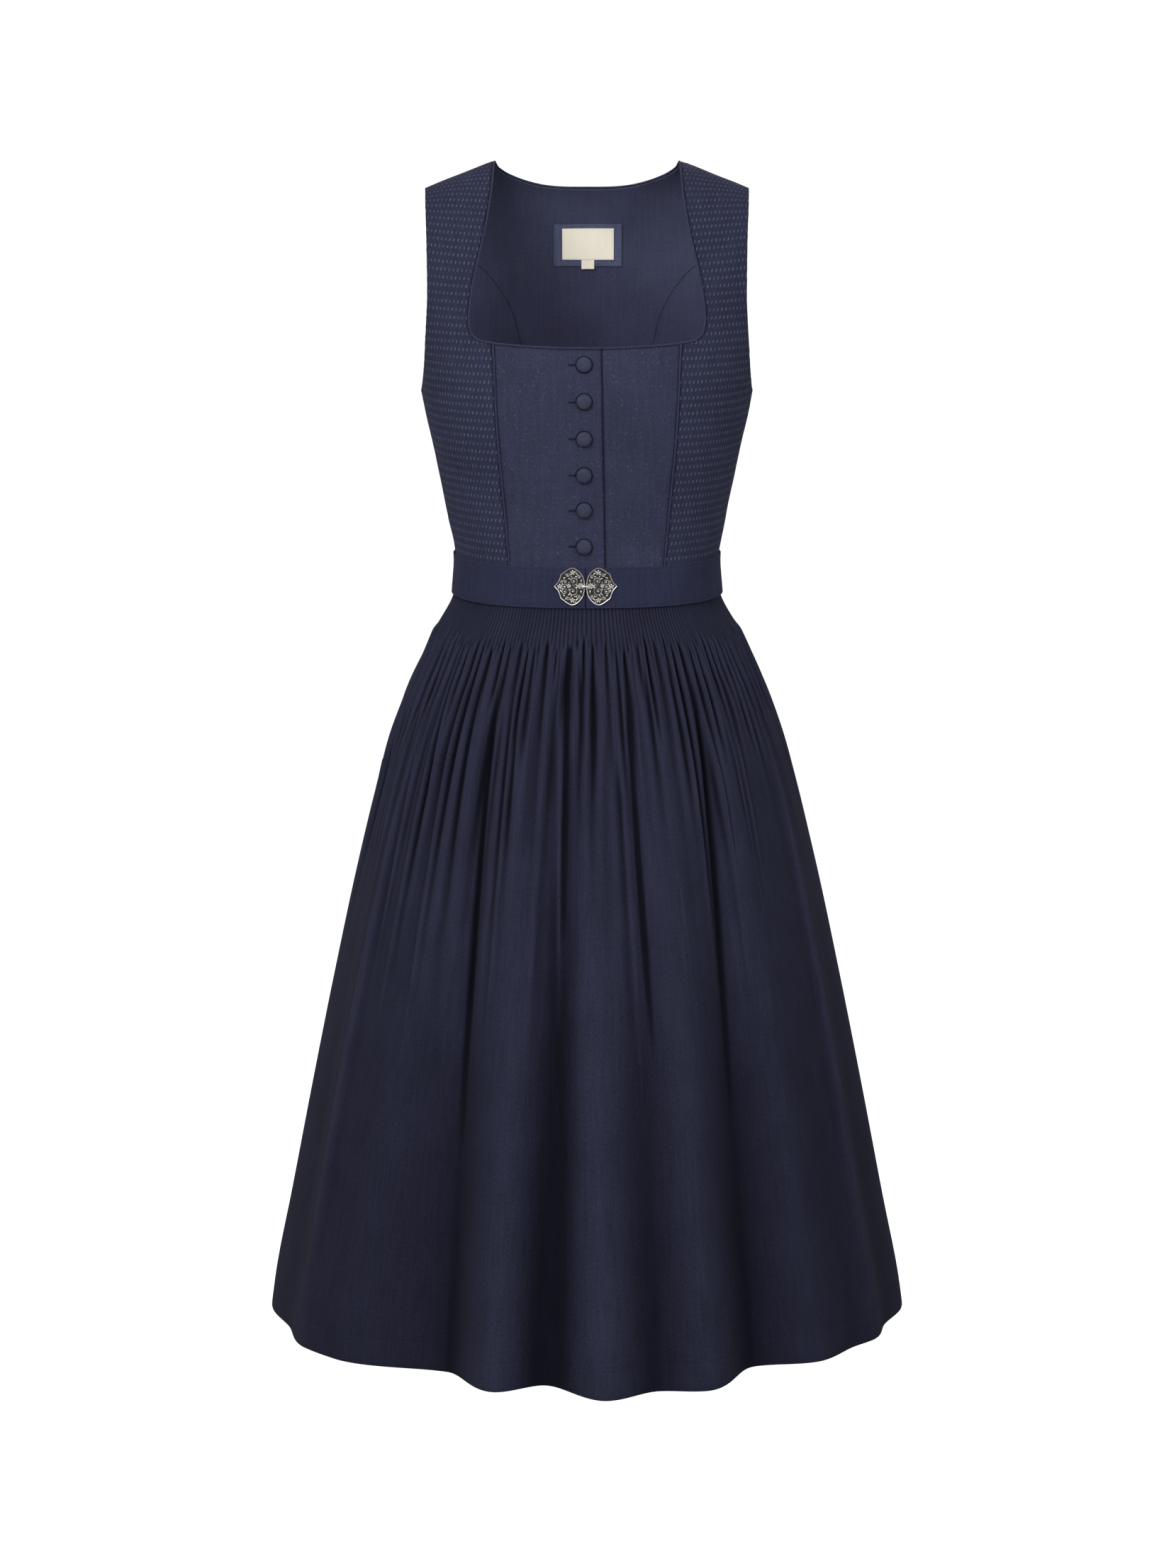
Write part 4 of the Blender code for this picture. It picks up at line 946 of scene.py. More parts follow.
def mirrored(grids):
    return [(places * MIRROR, near) for places, near in grids]


def sewn_grid(inner, outer):
    """One grid between two edges that are both sewn."""
    places, from_inner, from_outer = rows_between(inner, outer, PANEL_ACROSS)
    return [(places, np.minimum(from_inner, from_outer))]


def strap_shade(x, z):
    """Painted shade, darker towards the shoulders: the straps lean back, away from the light of the floor.
    """
    return 0.20 * eased((z + 0.22) / 0.10)


inner_edge, outer_edge = side_front_rows()
SIDE_FRONT = sewn_grid(inner_edge, outer_edge)
for node, grids in (("side_front_left", SIDE_FRONT), ("side_front_right", mirrored(SIDE_FRONT))):
    panel(node, "front", grids, [SIDE_CLOTH, LINING_CLOTH], shade=strap_shade)

# %% [markdown]
# The back has a centre piece, broad at the shoulders and narrow at the waist, between two curved
# seams, and two side pieces. Each edge is written down from the shoulder to the waist, as it would
# be marked on a paper pattern.

# %% Edges of the back panels
YOKE = (
    # neck x, neck z, edge x, edge z
    (NECK_X, 0.0, STRAP_X, 0.0),
    (0.0917, -0.004, 0.1586, -0.05),
    (0.089, -0.0095, 0.1568, -0.099),
    (0.082, -0.0153, 0.13, -0.1045),
    (0.072, -0.0207, 0.1085, -0.113),
    (0.06, -0.0254, 0.088, -0.137),
    (0.047, -0.029, 0.0745, -0.163),
    (0.035, -0.0309, 0.0673, -0.192),
    (0.023, -0.0318, 0.0449, -0.192),
    (0.0115, -0.032, 0.0224, -0.192),
    (0.0, -0.032, 0.0, -0.192),
)
ARMHOLE_ROW, YOKE_CORNER_ROW = 2, 7
BACK_SEAM = (
    # z, x
    (-0.192, 0.0673), (-0.203, 0.0652), (-0.215, 0.0631), (-0.245, 0.0582),
    (-0.285, 0.0515), (-0.325, 0.0478), (-0.362, 0.0461), (BELT_TOP, 0.0453),
    (WAIST_Z, 0.045),
)
SIDE_BACK_EDGE = (
    # edge x, edge z
    (0.1568, -0.099), (0.1566, -0.12), (0.157, -0.14), (0.158, -0.162),
    (0.1597, -0.186), (0.1617, -0.206), (0.164, -0.222), (SIDE, -0.228),
    (SIDE, -0.256), (SIDE, -0.291), (SIDE, -0.328), (SIDE, -0.362),
    (SIDE, BELT_TOP), (SIDE, WAIST_Z),
)
SIDE_BACK_CORNER = 7


def centre_back():
    """A grid from the neck out to the armholes, and one between the two seams below it."""
    neck = [place("back", x, z) for x, z, _, _ in YOKE]
    edge = [place("back", x, z) for _, _, x, z in YOKE]
    neck, edge = (half + [p * MIRROR for p in half[-2::-1]] for half in (neck, edge))
    last = len(edge) - 1
    corners = [ARMHOLE_ROW, YOKE_CORNER_ROW, last - YOKE_CORNER_ROW, last - ARMHOLE_ROW]
    inner, outer = along_edge(neck, [], FINE), along_edge(edge, corners, FINE)
    places, from_neck, _ = rows_between(inner, outer, PANEL_ACROSS, EDGE_STEPS, PLAIN_STEPS)
    low = YOKE_CORNER_ROW * FINE
    sewn = np.ones((len(outer), 1), bool)
    sewn[low + 1:len(outer) - low - 1] = False
    far = np.linalg.norm(form_at(places) - form_at(outer)[:, None], axis=-1)
    top = places[low:len(outer) - low, -1]
    seam = along_edge([place("back", x, z) for z, x in BACK_SEAM], [], FINE)
    share = top[:, 1] / top[0, 1]
    lower = np.stack(np.broadcast_arrays(seam[:, :1], seam[:, 1:] * share), axis=-1)
    half = 0.5 * np.linalg.norm(form_at(seam) - form_at(seam * MIRROR), axis=-1)
    return [(places, np.minimum(from_neck, np.where(sewn, far, 1.0))),
            (lower, half[:, None] * (1.0 - np.abs(share)))]


def side_back():
    seam = [(x, z) for _, _, x, z in YOKE[ARMHOLE_ROW:YOKE_CORNER_ROW]] + [(x, z) for z, x in BACK_SEAM]
    inner = along_edge([place("back", x, z) for x, z in seam], [YOKE_CORNER_ROW - ARMHOLE_ROW], FINE)
    outer = along_edge([place("back", x, z) for x, z in SIDE_BACK_EDGE], [SIDE_BACK_CORNER], FINE)
    return sewn_grid(inner, outer)


print("rows of the yoke:", len(YOKE), "of a side back:", len(SIDE_BACK_EDGE))

# %% [markdown]
# The lining shows inside the neck opening. It has the same seams as the back, so the same rows
# make it a second time, one cloth thickness further in.

# %% Back panels and their lining
LINING = 0.0010
LINING_OUT = SHELL + SEAM_GAP


def inner_shade(x, z):
    """Painted shade on the lining: less light comes in at the neck the lower one looks."""
    return 0.56 * eased((-0.07 - z) / 0.13)


CENTRE_BACK, SIDE_BACK = centre_back(), side_back()
for node, grids, outside in (("back_center", CENTRE_BACK, FRONT_CLOTH),
                             ("back_side_left", SIDE_BACK, SIDE_CLOTH),
                             ("back_side_right", mirrored(SIDE_BACK), SIDE_CLOTH)):
    panel(node, "back", grids, [outside, LINING_CLOTH])
    panel(f"lining_{node}", "back", grids, [LINING_CLOTH], shade=inner_shade, depth=LINING_OUT, wall=LINING,
          slot="lining_cloth")

# %% [markdown]
# Cords and stitches both follow a path: a mesh of edges only, whose points carry the direction that
# is up there. Geometry Nodes turn it into the piece. A tree is run once and its result kept as a
# plain mesh. Every tree ends alike: real faces instead of instances, smooth, with their material.

# %% Paths and a way to run a geometry tree
GEOMETRY, MATERIAL, WHOLE = "NodeSocketGeometry", "NodeSocketMaterial", "NodeSocketInt"


def path_object(name, paths):
    """A mesh of edges. A path is (points, ups, widths, closed)."""
    points, ups, widths, edges = [], [], [], []
    for line, up, width, closed in paths:
        start, count = len(points), len(line)
        points += [tuple(p) for p in line]
        ups += [tuple(u) for u in up]
        widths += list(np.broadcast_to(width, (count,)))
        edges += [(start + k, start + (k + 1) % count) for k in range(count if closed else count - 1)]
    mesh = bpy.data.meshes.new(name)
    mesh.from_pydata(points, edges, [])
    store(mesh, "up", ups, "FLOAT_VECTOR")
    store(mesh, "width", np.array(widths, float))
    return link_new(name, mesh)


def run_nodes(made, group, values):
    """Evaluates a geometry tree on an object once and keeps the result as its plain mesh."""
    modifier = made.modifiers.new(group.name, "NODES")
    modifier.node_group = group
    for item in group.interface.items_tree:
        if item.item_type == "SOCKET" and item.in_out == "INPUT" and item.name in values:
            modifier[item.identifier] = values[item.name]
    graph = bpy.context.evaluated_depsgraph_get()
    mesh = bpy.data.meshes.new_from_object(made.evaluated_get(graph), preserve_all_data_layers=True,
                                           depsgraph=graph)
    made.modifiers.clear()
    made.data = mesh
    mesh.name = made.name
    print(made.name, "faces", len(mesh.polygons))


def path_piece(name, paths, group, values, slot, *nodes):
    """A finished piece from paths and a tree."""
    piece = path_object(name, paths)
    run_nodes(piece, group, values)
    dress_piece(piece, slot, *nodes)


def end_tree(tree, shape, material, result):
    whole = tree.first("GeometryNodeRealizeInstances", {"Geometry": shape})
    smooth = tree.first("GeometryNodeSetShadeSmooth", {"Geometry": whole})
    dyed = tree.first("GeometryNodeSetMaterial", {"Geometry": smooth, "Material": material})
    tree.feed(result["Geometry"], dyed)


def stored(tree, name, kind="FLOAT"):
    """What the points of the mesh carry under this name."""
    return tree.first("GeometryNodeInputNamedAttribute", {"Name": name}, data_type=kind)


def random_value(tree, low, high, inputs):
    return tree.add("FunctionNodeRandomValue", {2: low, 3: high, **inputs}, data_type="FLOAT").outputs[1]


print("geometry helpers ready")

# %% [markdown]
# A cord is a circle swept along its path. The path is first divided into even steps, and the width
# that its points carry sets how thick the cord is.

# %% Geometry tree: covered cord
covered_cord, tree, given, result = new_group(
    "covered cord", "GeometryNodeTree",
    [("Geometry", GEOMETRY), ("Step", FLOAT, 0.001), ("Sides", WHOLE, 12), ("Material", MATERIAL)],
    [("Geometry", GEOMETRY)])
line = tree.first("GeometryNodeMeshToCurve", {"Mesh": given["Geometry"]})
line = tree.first("GeometryNodeSetCurveRadius", {"Curve": line, "Radius": stored(tree, "width")})
line = tree.first("GeometryNodeResampleCurve", {"Curve": line, "Length": given["Step"]}, mode="LENGTH")
circle = tree.first("GeometryNodeCurvePrimitiveCircle", {"Resolution": given["Sides"], "Radius": 1.0})
radius = tree.first("GeometryNodeInputRadius")
cord = tree.first("GeometryNodeCurveToMesh", {"Curve": line, "Profile Curve": circle, "Fill Caps": True,
                                              "Scale": radius})
end_tree(tree, cord, given["Material"], result)
print("tree:", covered_cord.name)

# %% [markdown]
# A row of stitches sets points at equal steps on its path and puts one short thread on each. The
# thread is a stretched ball, turned along the path and pressed against the cloth. A small random
# turn keeps the row from looking made by a machine.

# %% Geometry tree: row of stitches
UNEVEN_TURN = 0.09

stitch_row, tree, given, result = new_group(
    "row of stitches", "GeometryNodeTree",
    [("Geometry", GEOMETRY), ("Pitch", FLOAT, 0.003), ("Length", FLOAT, 0.0022), ("Thread", FLOAT, 0.0004),
     ("Turn", FLOAT, 0.0), ("Seed", WHOLE, 1), ("Material", MATERIAL)],
    [("Geometry", GEOMETRY)])
line = tree.first("GeometryNodeMeshToCurve", {"Mesh": given["Geometry"]})
line = tree.first("GeometryNodeResampleCurve", {"Curve": line, "Length": given["Pitch"]}, mode="LENGTH")
tangent = tree.first("GeometryNodeInputTangent")
along = tree.first("FunctionNodeAlignRotationToVector", {"Vector": tangent}, axis="X")
up = stored(tree, "up", "FLOAT_VECTOR")
upright = tree.first("FunctionNodeAlignRotationToVector", {"Rotation": along, "Vector": up},
                     axis="Z", pivot_axis="X")
uneven = random_value(tree, -UNEVEN_TURN, UNEVEN_TURN, {"Seed": given["Seed"]})
about = tree.first("ShaderNodeCombineXYZ", {2: tree.plus(uneven, given["Turn"])})
turned = tree.first("FunctionNodeRotateRotation", {0: upright, 1: about}, rotation_space="LOCAL")
stitch = tree.first("GeometryNodeMeshUVSphere", {"Segments": 6, "Rings": 4, "Radius": 0.5})
size = tree.first("ShaderNodeCombineXYZ", {0: given["Length"], 1: given["Thread"], 2: given["Thread"]})
spread = tree.first("GeometryNodeInstanceOnPoints", {"Points": line, "Instance": stitch, "Rotation": turned,
                                                     "Scale": size})
end_tree(tree, spread, given["Material"], result)
print("tree:", stitch_row.name)

# %% [markdown]
# A piping is a thin cord wrapped in the dress's own cloth and sewn between two panels. It runs
# down both front seams and goes deeper under the belt.

# %% Front pipings
CORD_SUNK = 0.0004
CORD_UNDER_BELT = 0.0007
CORD_DIVE_Z, CORD_DIVE = -0.3680, 0.0200
CORD_TIGHT = 0.97     # of its full width between two panels
CORD_END = 0.0002


def cord_piece(name, paths, step, sides, material, slot, *nodes):
    inputs = {"Step": step, "Sides": sides, "Material": material}
    path_piece(name, paths, covered_cord, inputs, slot, *nodes)


def front_cord(node, sign):
    z = np.linspace(front_seam_z[0] - CORD_END, WAIST_Z + CORD_END, 120)
    middle, up = on_form(place("front", sign * FRONT_SEAM_X(-z), z))
    sunk = CORD_SUNK + CORD_UNDER_BELT * eased((CORD_DIVE_Z - z) / CORD_DIVE)
    path = (middle - up * sunk[:, None], up, FRONT_CORD * CORD_TIGHT, False)
    cord_piece(f"{node}_cord", [path], 0.0012, 14, PIPING_CLOTH, "piping_cloth", node)


front_cord("piping_front_right", -1.0)
front_cord("piping_front_left", 1.0)

# %% [markdown]
# One more piping goes round the neck opening, from the free edge of the right front over both
# straps and the back to the left front. The edges of five panels are joined, divided evenly, and
# moved out by the cord's radius.

# %% Neck piping
NECK_CORD, NECK_CORD_SUNK = 0.00105, 0.00065
EDGE_CLEAR = 0.0016
NECK_NODES = 620


def neck_line():
    """The route of the neck cord with the direction out of the cloth at every point."""
    seam_x = FRONT_SEAM_X(-NECK_FRONT_Z)
    right_x = np.linspace(overlap_edge(NECK_FRONT_Z), -seam_x + FRONT_CORD, 60)
    left_x = np.linspace(seam_x - FRONT_CORD, overlap_edge(NECK_FRONT_Z) + EDGE_CLEAR, 50)
    strap = inner_edge[:len(SIDE_FRONT_STRAP) * FINE - FINE + 1]
    back = [place("back", x, z) for x, z, _, _ in YOKE]
    back = along_edge([p * MIRROR for p in back] + back[-2::-1], [], FINE)
    runs = [
        (place("front", right_x, NECK_FRONT_Z + NECK_FRONT_RISE * right_x ** 2), over_lift),
        (strap[::-1] * MIRROR, nothing), (back[1:-1], nothing), (strap, nothing),
        (place("front", left_x, NECK_FRONT_Z + NECK_FRONT_RISE * left_x ** 2), under_lift),
    ]
    edge, ups = [], []
    for where, lift in runs:
        point, up = on_form(where)
        edge.append(point + up * (lift(point[:, 0], point[:, 2]) - NECK_CORD_SUNK)[:, None])
        ups.append(up)
    edge, ups = np.concatenate(edge), np.concatenate(ups)
    walk = walk_along(edge)
    even = np.linspace(0.0, walk[-1], NECK_NODES)
    edge, ups = (np.stack([np.interp(even, walk, column) for column in a.T], axis=1) for a in (edge, ups))
    return edge + unit(np.cross(np.gradient(edge, axis=0), ups)) * NECK_CORD, ups


cord_piece("piping_neck_cord", [(*neck_line(), NECK_CORD, False)], 0.0014, 12, PIPING_CLOTH, "piping_cloth",
           "piping_neck")

# %% [markdown]
# The skirt is two straight lengths of cloth. At the top each is drawn together on many threads into
# cartridge pleats: tiny upright tubes of equal width. Where the threads end, the tubes open in
# groups. Narrow dark notches start between them, widen downwards, and merge into fewer and larger
# folds, until only a few broad waves reach the hem. The large form comes first, placed from the
# photograph, and the pleats, which follow a rule, are added by Geometry Nodes after it.

# %% Widths and folds of the skirt
SKIRT_TOP_Z = WAIST_Z - SEAM_GAP
HEM_Z = -1.1813
SKIRT_WIDTHS = (
    # z, half width
    (SKIRT_TOP_Z, 0.132), (-0.431, 0.1334), (-0.468, 0.1523), (-0.488, 0.1618), (-0.52, 0.1772),
    (-0.565, 0.1945), (-0.625, 0.2125), (-0.71, 0.2335), (-0.82, 0.2575), (-0.94, 0.282),
    (-1.06, 0.3055), (-1.153, 0.324), (HEM_Z, 0.3279),
)
WAIST_HALF_WIDTH, HEM_HALF_WIDTH = 0.1334, 0.3279
# Depth at the waist and at the hem, and fullness of the section at the waist; it is 0 at the hem
SKIRT_DEPTHS = {"front": (0.1076, 0.264, 0.22), "back": (0.0841, 0.26, 0.15)}
FOLDS = (
    # waist angle, hem angle, stand out
    (-90.0, -90.0, 0.0), (-74.0, -74.0, -0.009), (-61.0, -59.0, 0.006), (-45.0, -50.0, 0.005),
    (-31.0, -27.0, -0.023), (-17.0, -15.7, 0.021), (-6.0, -7.4, -0.007), (1.0, 3.0, 0.037),
    (13.0, 12.0, 0.014), (20.0, 20.0, 0.024), (35.0, 33.0, -0.026), (44.0, 47.0, -0.002),
    (55.0, 57.0, -0.008), (66.0, 65.0, -0.003), (76.0, 75.0, -0.011), (90.0, 90.0, 0.0),
    (101.0, 102.0, -0.01), (113.0, 115.0, 0.008), (126.0, 128.0, -0.018), (140.0, 142.0, 0.02),
    (151.0, 152.0, -0.006), (161.0, 161.0, 0.024), (172.0, 171.0, 0.002), (181.0, 182.0, 0.032),
    (194.0, 193.0, -0.012), (206.0, 207.0, 0.02), (221.0, 219.0, -0.022), (236.0, 235.0, 0.01),
    (250.0, 250.0, -0.008), (260.0, 261.0, 0.003), (270.0, 270.0, 0.0),
)
CREASES = (
    # top angle, low angle, top z, low z, stand out, half width
    (-31.0, -27.0, -0.48, -0.98, -0.008, 2.6),
    (-6.5, -5.6, -0.47, -0.76, -0.005, 2.0),
    (12.5, 14.0, -0.48, -0.88, -0.0055, 2.2),
    (38.0, 32.0, -0.48, -0.96, -0.0065, 2.6),
    (-60.0, -62.0, -0.56, -1.18, 0.0045, 2.2),
    (66.0, 65.0, -0.53, -1.18, 0.0045, 2.2),
    (128.0, 127.0, -0.49, -0.94, -0.007, 2.6),
    (153.0, 152.0, -0.48, -0.86, -0.0055, 2.2),
    (173.0, 171.0, -0.475, -0.8, -0.005, 2.0),
    (196.0, 193.0, -0.48, -0.97, -0.007, 2.6),
    (222.0, 219.0, -0.49, -0.9, -0.006, 2.4),
    (113.0, 115.0, -0.56, -1.18, 0.004, 2.2),
    (246.0, 246.0, -0.56, -1.18, 0.004, 2.2),
)
skirt_z, skirt_half_width = columns(SKIRT_WIDTHS)
SKIRT_HALF = Curve(-skirt_z, skirt_half_width)
hem_depth = sum(depths[1] for depths in SKIRT_DEPTHS.values()) / len(SKIRT_DEPTHS)
print("hem round, about", round(TURN * math.sqrt(0.5 * (HEM_HALF_WIDTH ** 2 + hem_depth ** 2)), 2), "m")

# %% [markdown]
# The broad folds run from the waist to the hem and grow on their way down. Each row of the table is
# a ridge or a trough that may wander a little sideways. A few single creases are added, each with
# its own start and end. Angles are in degrees round the dress, 0 at the middle of the front.

# %% The skirt's large form
FOLDS_START = -0.4700
FADE_IN, FADE_OUT = 0.2, 0.45          # shares of a crease's length
SHARPER, NARROWER = 0.7, 3.0           # a trough has a narrow bottom of this share of its depth
BUNCHING = ((4, 1.3), (10, 0.5))       # waves round the skirt, degrees that they move the cloth by
FOLD_WAIST, FOLD_HEM, FOLD_OUT = columns(FOLDS)


def large_folds(angle, z):
    """Height of the largest folds; each runs from its angle at the waist to its angle at the hem."""
    share = np.clip((FOLDS_START - z) / (FOLDS_START - HEM_Z), 0.0, 1.0)
    total = np.zeros(angle.shape)
    for row in range(angle.shape[0]):
        part = share[row, 0]
        lines = FOLD_WAIST + (FOLD_HEM - FOLD_WAIST) * part
        i = np.clip(np.searchsorted(lines, angle[row]) - 1, 0, len(lines) - 2)
        t = eased((angle[row] - lines[i]) / (lines[i + 1] - lines[i]))
        total[row] = (FOLD_OUT[i] + (FOLD_OUT[i + 1] - FOLD_OUT[i]) * t) * eased(part)
    return total


def single_creases(angle, z):
    total = np.zeros(angle.shape)
    for top_angle, low_angle, top_z, low_z, stand_out, half_width in CREASES:
        t = (top_z - z) / (top_z - low_z)
        middle = top_angle + (low_angle - top_angle) * t
        strength = eased(t / FADE_IN) * eased((1.0 - t) / FADE_OUT)
        off = (angle - middle) / half_width
        total += stand_out * strength * np.exp(-off ** 2)
        if stand_out < 0.0:
            total += SHARPER * stand_out * strength * np.exp(-(NARROWER * off) ** 2)
    return total


def skirt_places(half, turn, z, inward):
    """Points of a skirt length and the level direction out of it, for arrays of turn and height."""
    half_width = SKIRT_HALF(-z)
    flare = (half_width - WAIST_HALF_WIDTH) / (HEM_HALF_WIDTH - WAIST_HALF_WIDTH)
    top_depth, hem_depth, top_full = SKIRT_DEPTHS[half]
    depth = top_depth + (hem_depth - top_depth) * flare
    full = top_full * (1.0 - flare)
    angle = turn
    for waves, degrees in BUNCHING:
        angle = angle + degrees * np.sin(waves * np.radians(turn))
    sine, cosine = np.sin(np.radians(angle)), np.cos(np.radians(angle))
    x = half_width * sine
    y = -depth * cosine * (1.0 + full * sine * sine)
    across = half_width * cosine
    along = depth * sine * (1.0 + full * sine * sine) - 2.0 * depth * full * cosine * cosine * sine
    length = np.hypot(across, along)
    outward = np.stack([along / length, -across / length, 0.0 * x], axis=-1)
    out = large_folds(angle, z) + single_creases(angle, z) - inward
    return np.stack([x, y, z], axis=-1) + outward * out[..., None], outward, out


print("broad folds:", len(FOLDS), "single creases:", len(CREASES))

# %% [markdown]
# Between the tubes the cloth opens in grooves at almost equal steps. Each starts at its own height,
# opens downwards, and fades out at its own height, so that the cloth between two grooves stands out
# as a fold. The same rule serves for narrow notches and wide waves, so it is a group.

# %% Geometry tree: one family of grooves
FAMILY = ("Count", "Shift", "Top", "Uneven Top", "Opening", "Widening", "Full", "Gone", "Narrow", "Wide",
          "Least", "Wander", "Calm Sides")

groove_family, tree, given, result = new_group(
    "groove family", "GeometryNodeTree",
    [("Turn", FLOAT), ("Height", FLOAT), ("Depth", FLOAT), *((name, FLOAT) for name in FAMILY),
     ("Seed", WHOLE, 1)],
    [("Rise", FLOAT)])


def chance(number, low, high, extra):
    """A random number for each groove, the same at all heights."""
    seed = tree.times_plus(given["Seed"], 10.0, float(extra))
    return random_value(tree, low, high, {"ID": number, "Seed": seed})


z = given["Height"]
slow = tree.math("SINE", tree.plus(tree.times(given["Turn"], 0.23), tree.times(z, 2.5)))
quick = tree.math("SINE", tree.times_plus(given["Turn"], 0.61, given["Shift"]))
wander = tree.times(tree.plus(slow, quick), given["Wander"])
turns = tree.over(given["Turn"], 360.0)
number, off = tree.split(tree.plus(tree.times(turns, given["Count"]), tree.plus(wander, given["Shift"])))
start = tree.times_plus(chance(number, -1.0, 0.4, 1), given["Uneven Top"], given["Top"])
below = tree.minus(start, z)
grown = tree.first("ShaderNodeMapRange", {0: below, 1: 0.0, 2: given["Widening"], 3: given["Narrow"],
                                          4: given["Wide"]})
width = tree.times(grown, chance(number, 0.7, 1.25, 2))
far = tree.over(off, width)
groove = tree.math("EXPONENT", tree.times(tree.times(far, far), -1.0))
opened = tree.ramp(below, 0.0, given["Opening"])
end = tree.times(tree.minus(given["Full"], given["Gone"]), chance(number, -0.35, 0.25, 3))
across = tree.math("SINE", tree.math("RADIANS", given["Turn"]))
sooner = tree.times(tree.math("POWER", tree.math("ABSOLUTE", across), 4.0), given["Calm Sides"])
closing = tree.ramp(tree.plus(tree.minus(z, sooner), end), given["Gone"], given["Full"])
depth = tree.times(given["Depth"], chance(number, given["Least"], 1.3, 4))
rise = tree.times(tree.times(depth, tree.times(opened, closing)), tree.minus(0.35, groove))
tree.feed(result["Rise"], rise)
print("tree:", groove_family.name)

# %% [markdown]
# The pleats move the points of the large form outwards and inwards. Four heights are summed: the
# round ribs of the gathered band, the notches right below it, the folds that these merge into, and
# the waves that the folds merge into.

# %% Geometry tree: cartridge pleats
RIBS, PLEAT_SEED = 234.0, 4
FAMILIES = {
    "Notch Depth": (94.0, 0.0, -0.4590, 0.011, 0.010, 0.060, -0.500, -0.600, 0.10, 0.34, 0.45, 0.16, 0.03),
    "Fold Depth": (46.0, 0.25, -0.4680, 0.024, 0.060, 0.130, -0.520, -0.650, 0.10, 0.42, 0.05, 0.26, 0.080),
    "Wave Depth": (21.0, 0.4, -0.4900, 0.050, 0.110, 0.200, -0.630, -0.940, 0.13, 0.58, -0.1, 0.40, 0.150),
}

cartridge_pleats, tree, given, result = new_group(
    "cartridge pleats", "GeometryNodeTree",
    [("Geometry", GEOMETRY), ("Ribs", FLOAT, RIBS), ("Rib Height", FLOAT, 0.0011),
     ("Notch Depth", FLOAT, 0.0062), ("Fold Depth", FLOAT, 0.0072), ("Wave Depth", FLOAT, 0.0092),
     ("Seed", WHOLE, PLEAT_SEED), ("Material", MATERIAL)],
    [("Geometry", GEOMETRY)])
turn, outside = stored(tree, "turn"), stored(tree, "outside")
outward = stored(tree, "outward", "FLOAT_VECTOR")
z = tree.add("ShaderNodeSeparateXYZ", {0: tree.first("GeometryNodeInputPosition")}).outputs[2]
sway = tree.math("SINE", tree.plus(tree.times(turn, 0.31), tree.times(z, 9.0)))
ribs = tree.times_plus(tree.over(turn, 360.0), given["Ribs"], tree.times(sway, 0.12))
rib_number, rib_off = tree.split(ribs)
rib_size = random_value(tree, 0.75, 1.15, {"ID": rib_number, "Seed": 11})
rib_round = tree.math("COSINE", tree.times(rib_off, math.pi))
rib_share = tree.times(tree.ramp(z, -0.4250, -0.4130, 1.0, 0.0), tree.ramp(z, -0.5000, -0.4650))
rib = tree.times(tree.times(tree.times(rib_share, outside), given["Rib Height"]),
                 tree.times(rib_size, tree.minus(rib_round, 0.65)))
notches, folds, waves = (
    group_node(tree, groove_family, {"Turn": turn, "Height": z, "Depth": given[depth],
                                     "Seed": tree.plus(given["Seed"], float(step)),
                                     **dict(zip(FAMILY, values))}).outputs[0]
    for step, (depth, values) in enumerate(FAMILIES.items(), start=1))
offset = tree.scaled(outward, tree.plus(tree.plus(rib, notches), tree.plus(folds, waves)))
pleated = tree.first("GeometryNodeSetPosition", {"Geometry": given["Geometry"], "Offset": offset})
end_tree(tree, pleated, given["Material"], result)
print("tree:", cartridge_pleats.name)

# %% [markdown]
# A skirt length is a closed wall as well: a fine outer net, an inner net with half the columns and
# about half the rows, which is all that the inside needs, and faces between the edges of the two.
# The rows lie closest where the pleats open and at the hem, where the cloth is folded up and the
# lower edge is round.

# %% The nets of a skirt length
HEM_STITCH_Z = -1.1528
ROW_RUNS = (
    # from, to, rows
    (SKIRT_TOP_Z, -0.4600, 10), (-0.4632, -0.5200, 19), (-0.5256, -0.6250, 16), (-0.6400, -1.1420, 32),
)
HEM_ROWS = (-1.1500, -1.1518, HEM_STITCH_Z, -1.1538, -1.1560, -1.1680, -1.1760, -1.1795, -1.1808, HEM_Z)
SKIRT_WALL, TWICE_FOLDED = 0.0015, 0.0007      # the wall, and what is added at the pleats and at the hem
BAND_END, BAND_RUN, STITCH_RUN = -0.5200, 0.0500, 0.001
LOWER_EDGE, LOWER_INNER_RUN, LOWER_OUTER_RUN = 0.0009, 0.0023, 0.0028
SIDE_SEAM_SINK, SIDE_SEAM_RUN, STITCH_SINK = 0.0009, 0.0030, 0.0003


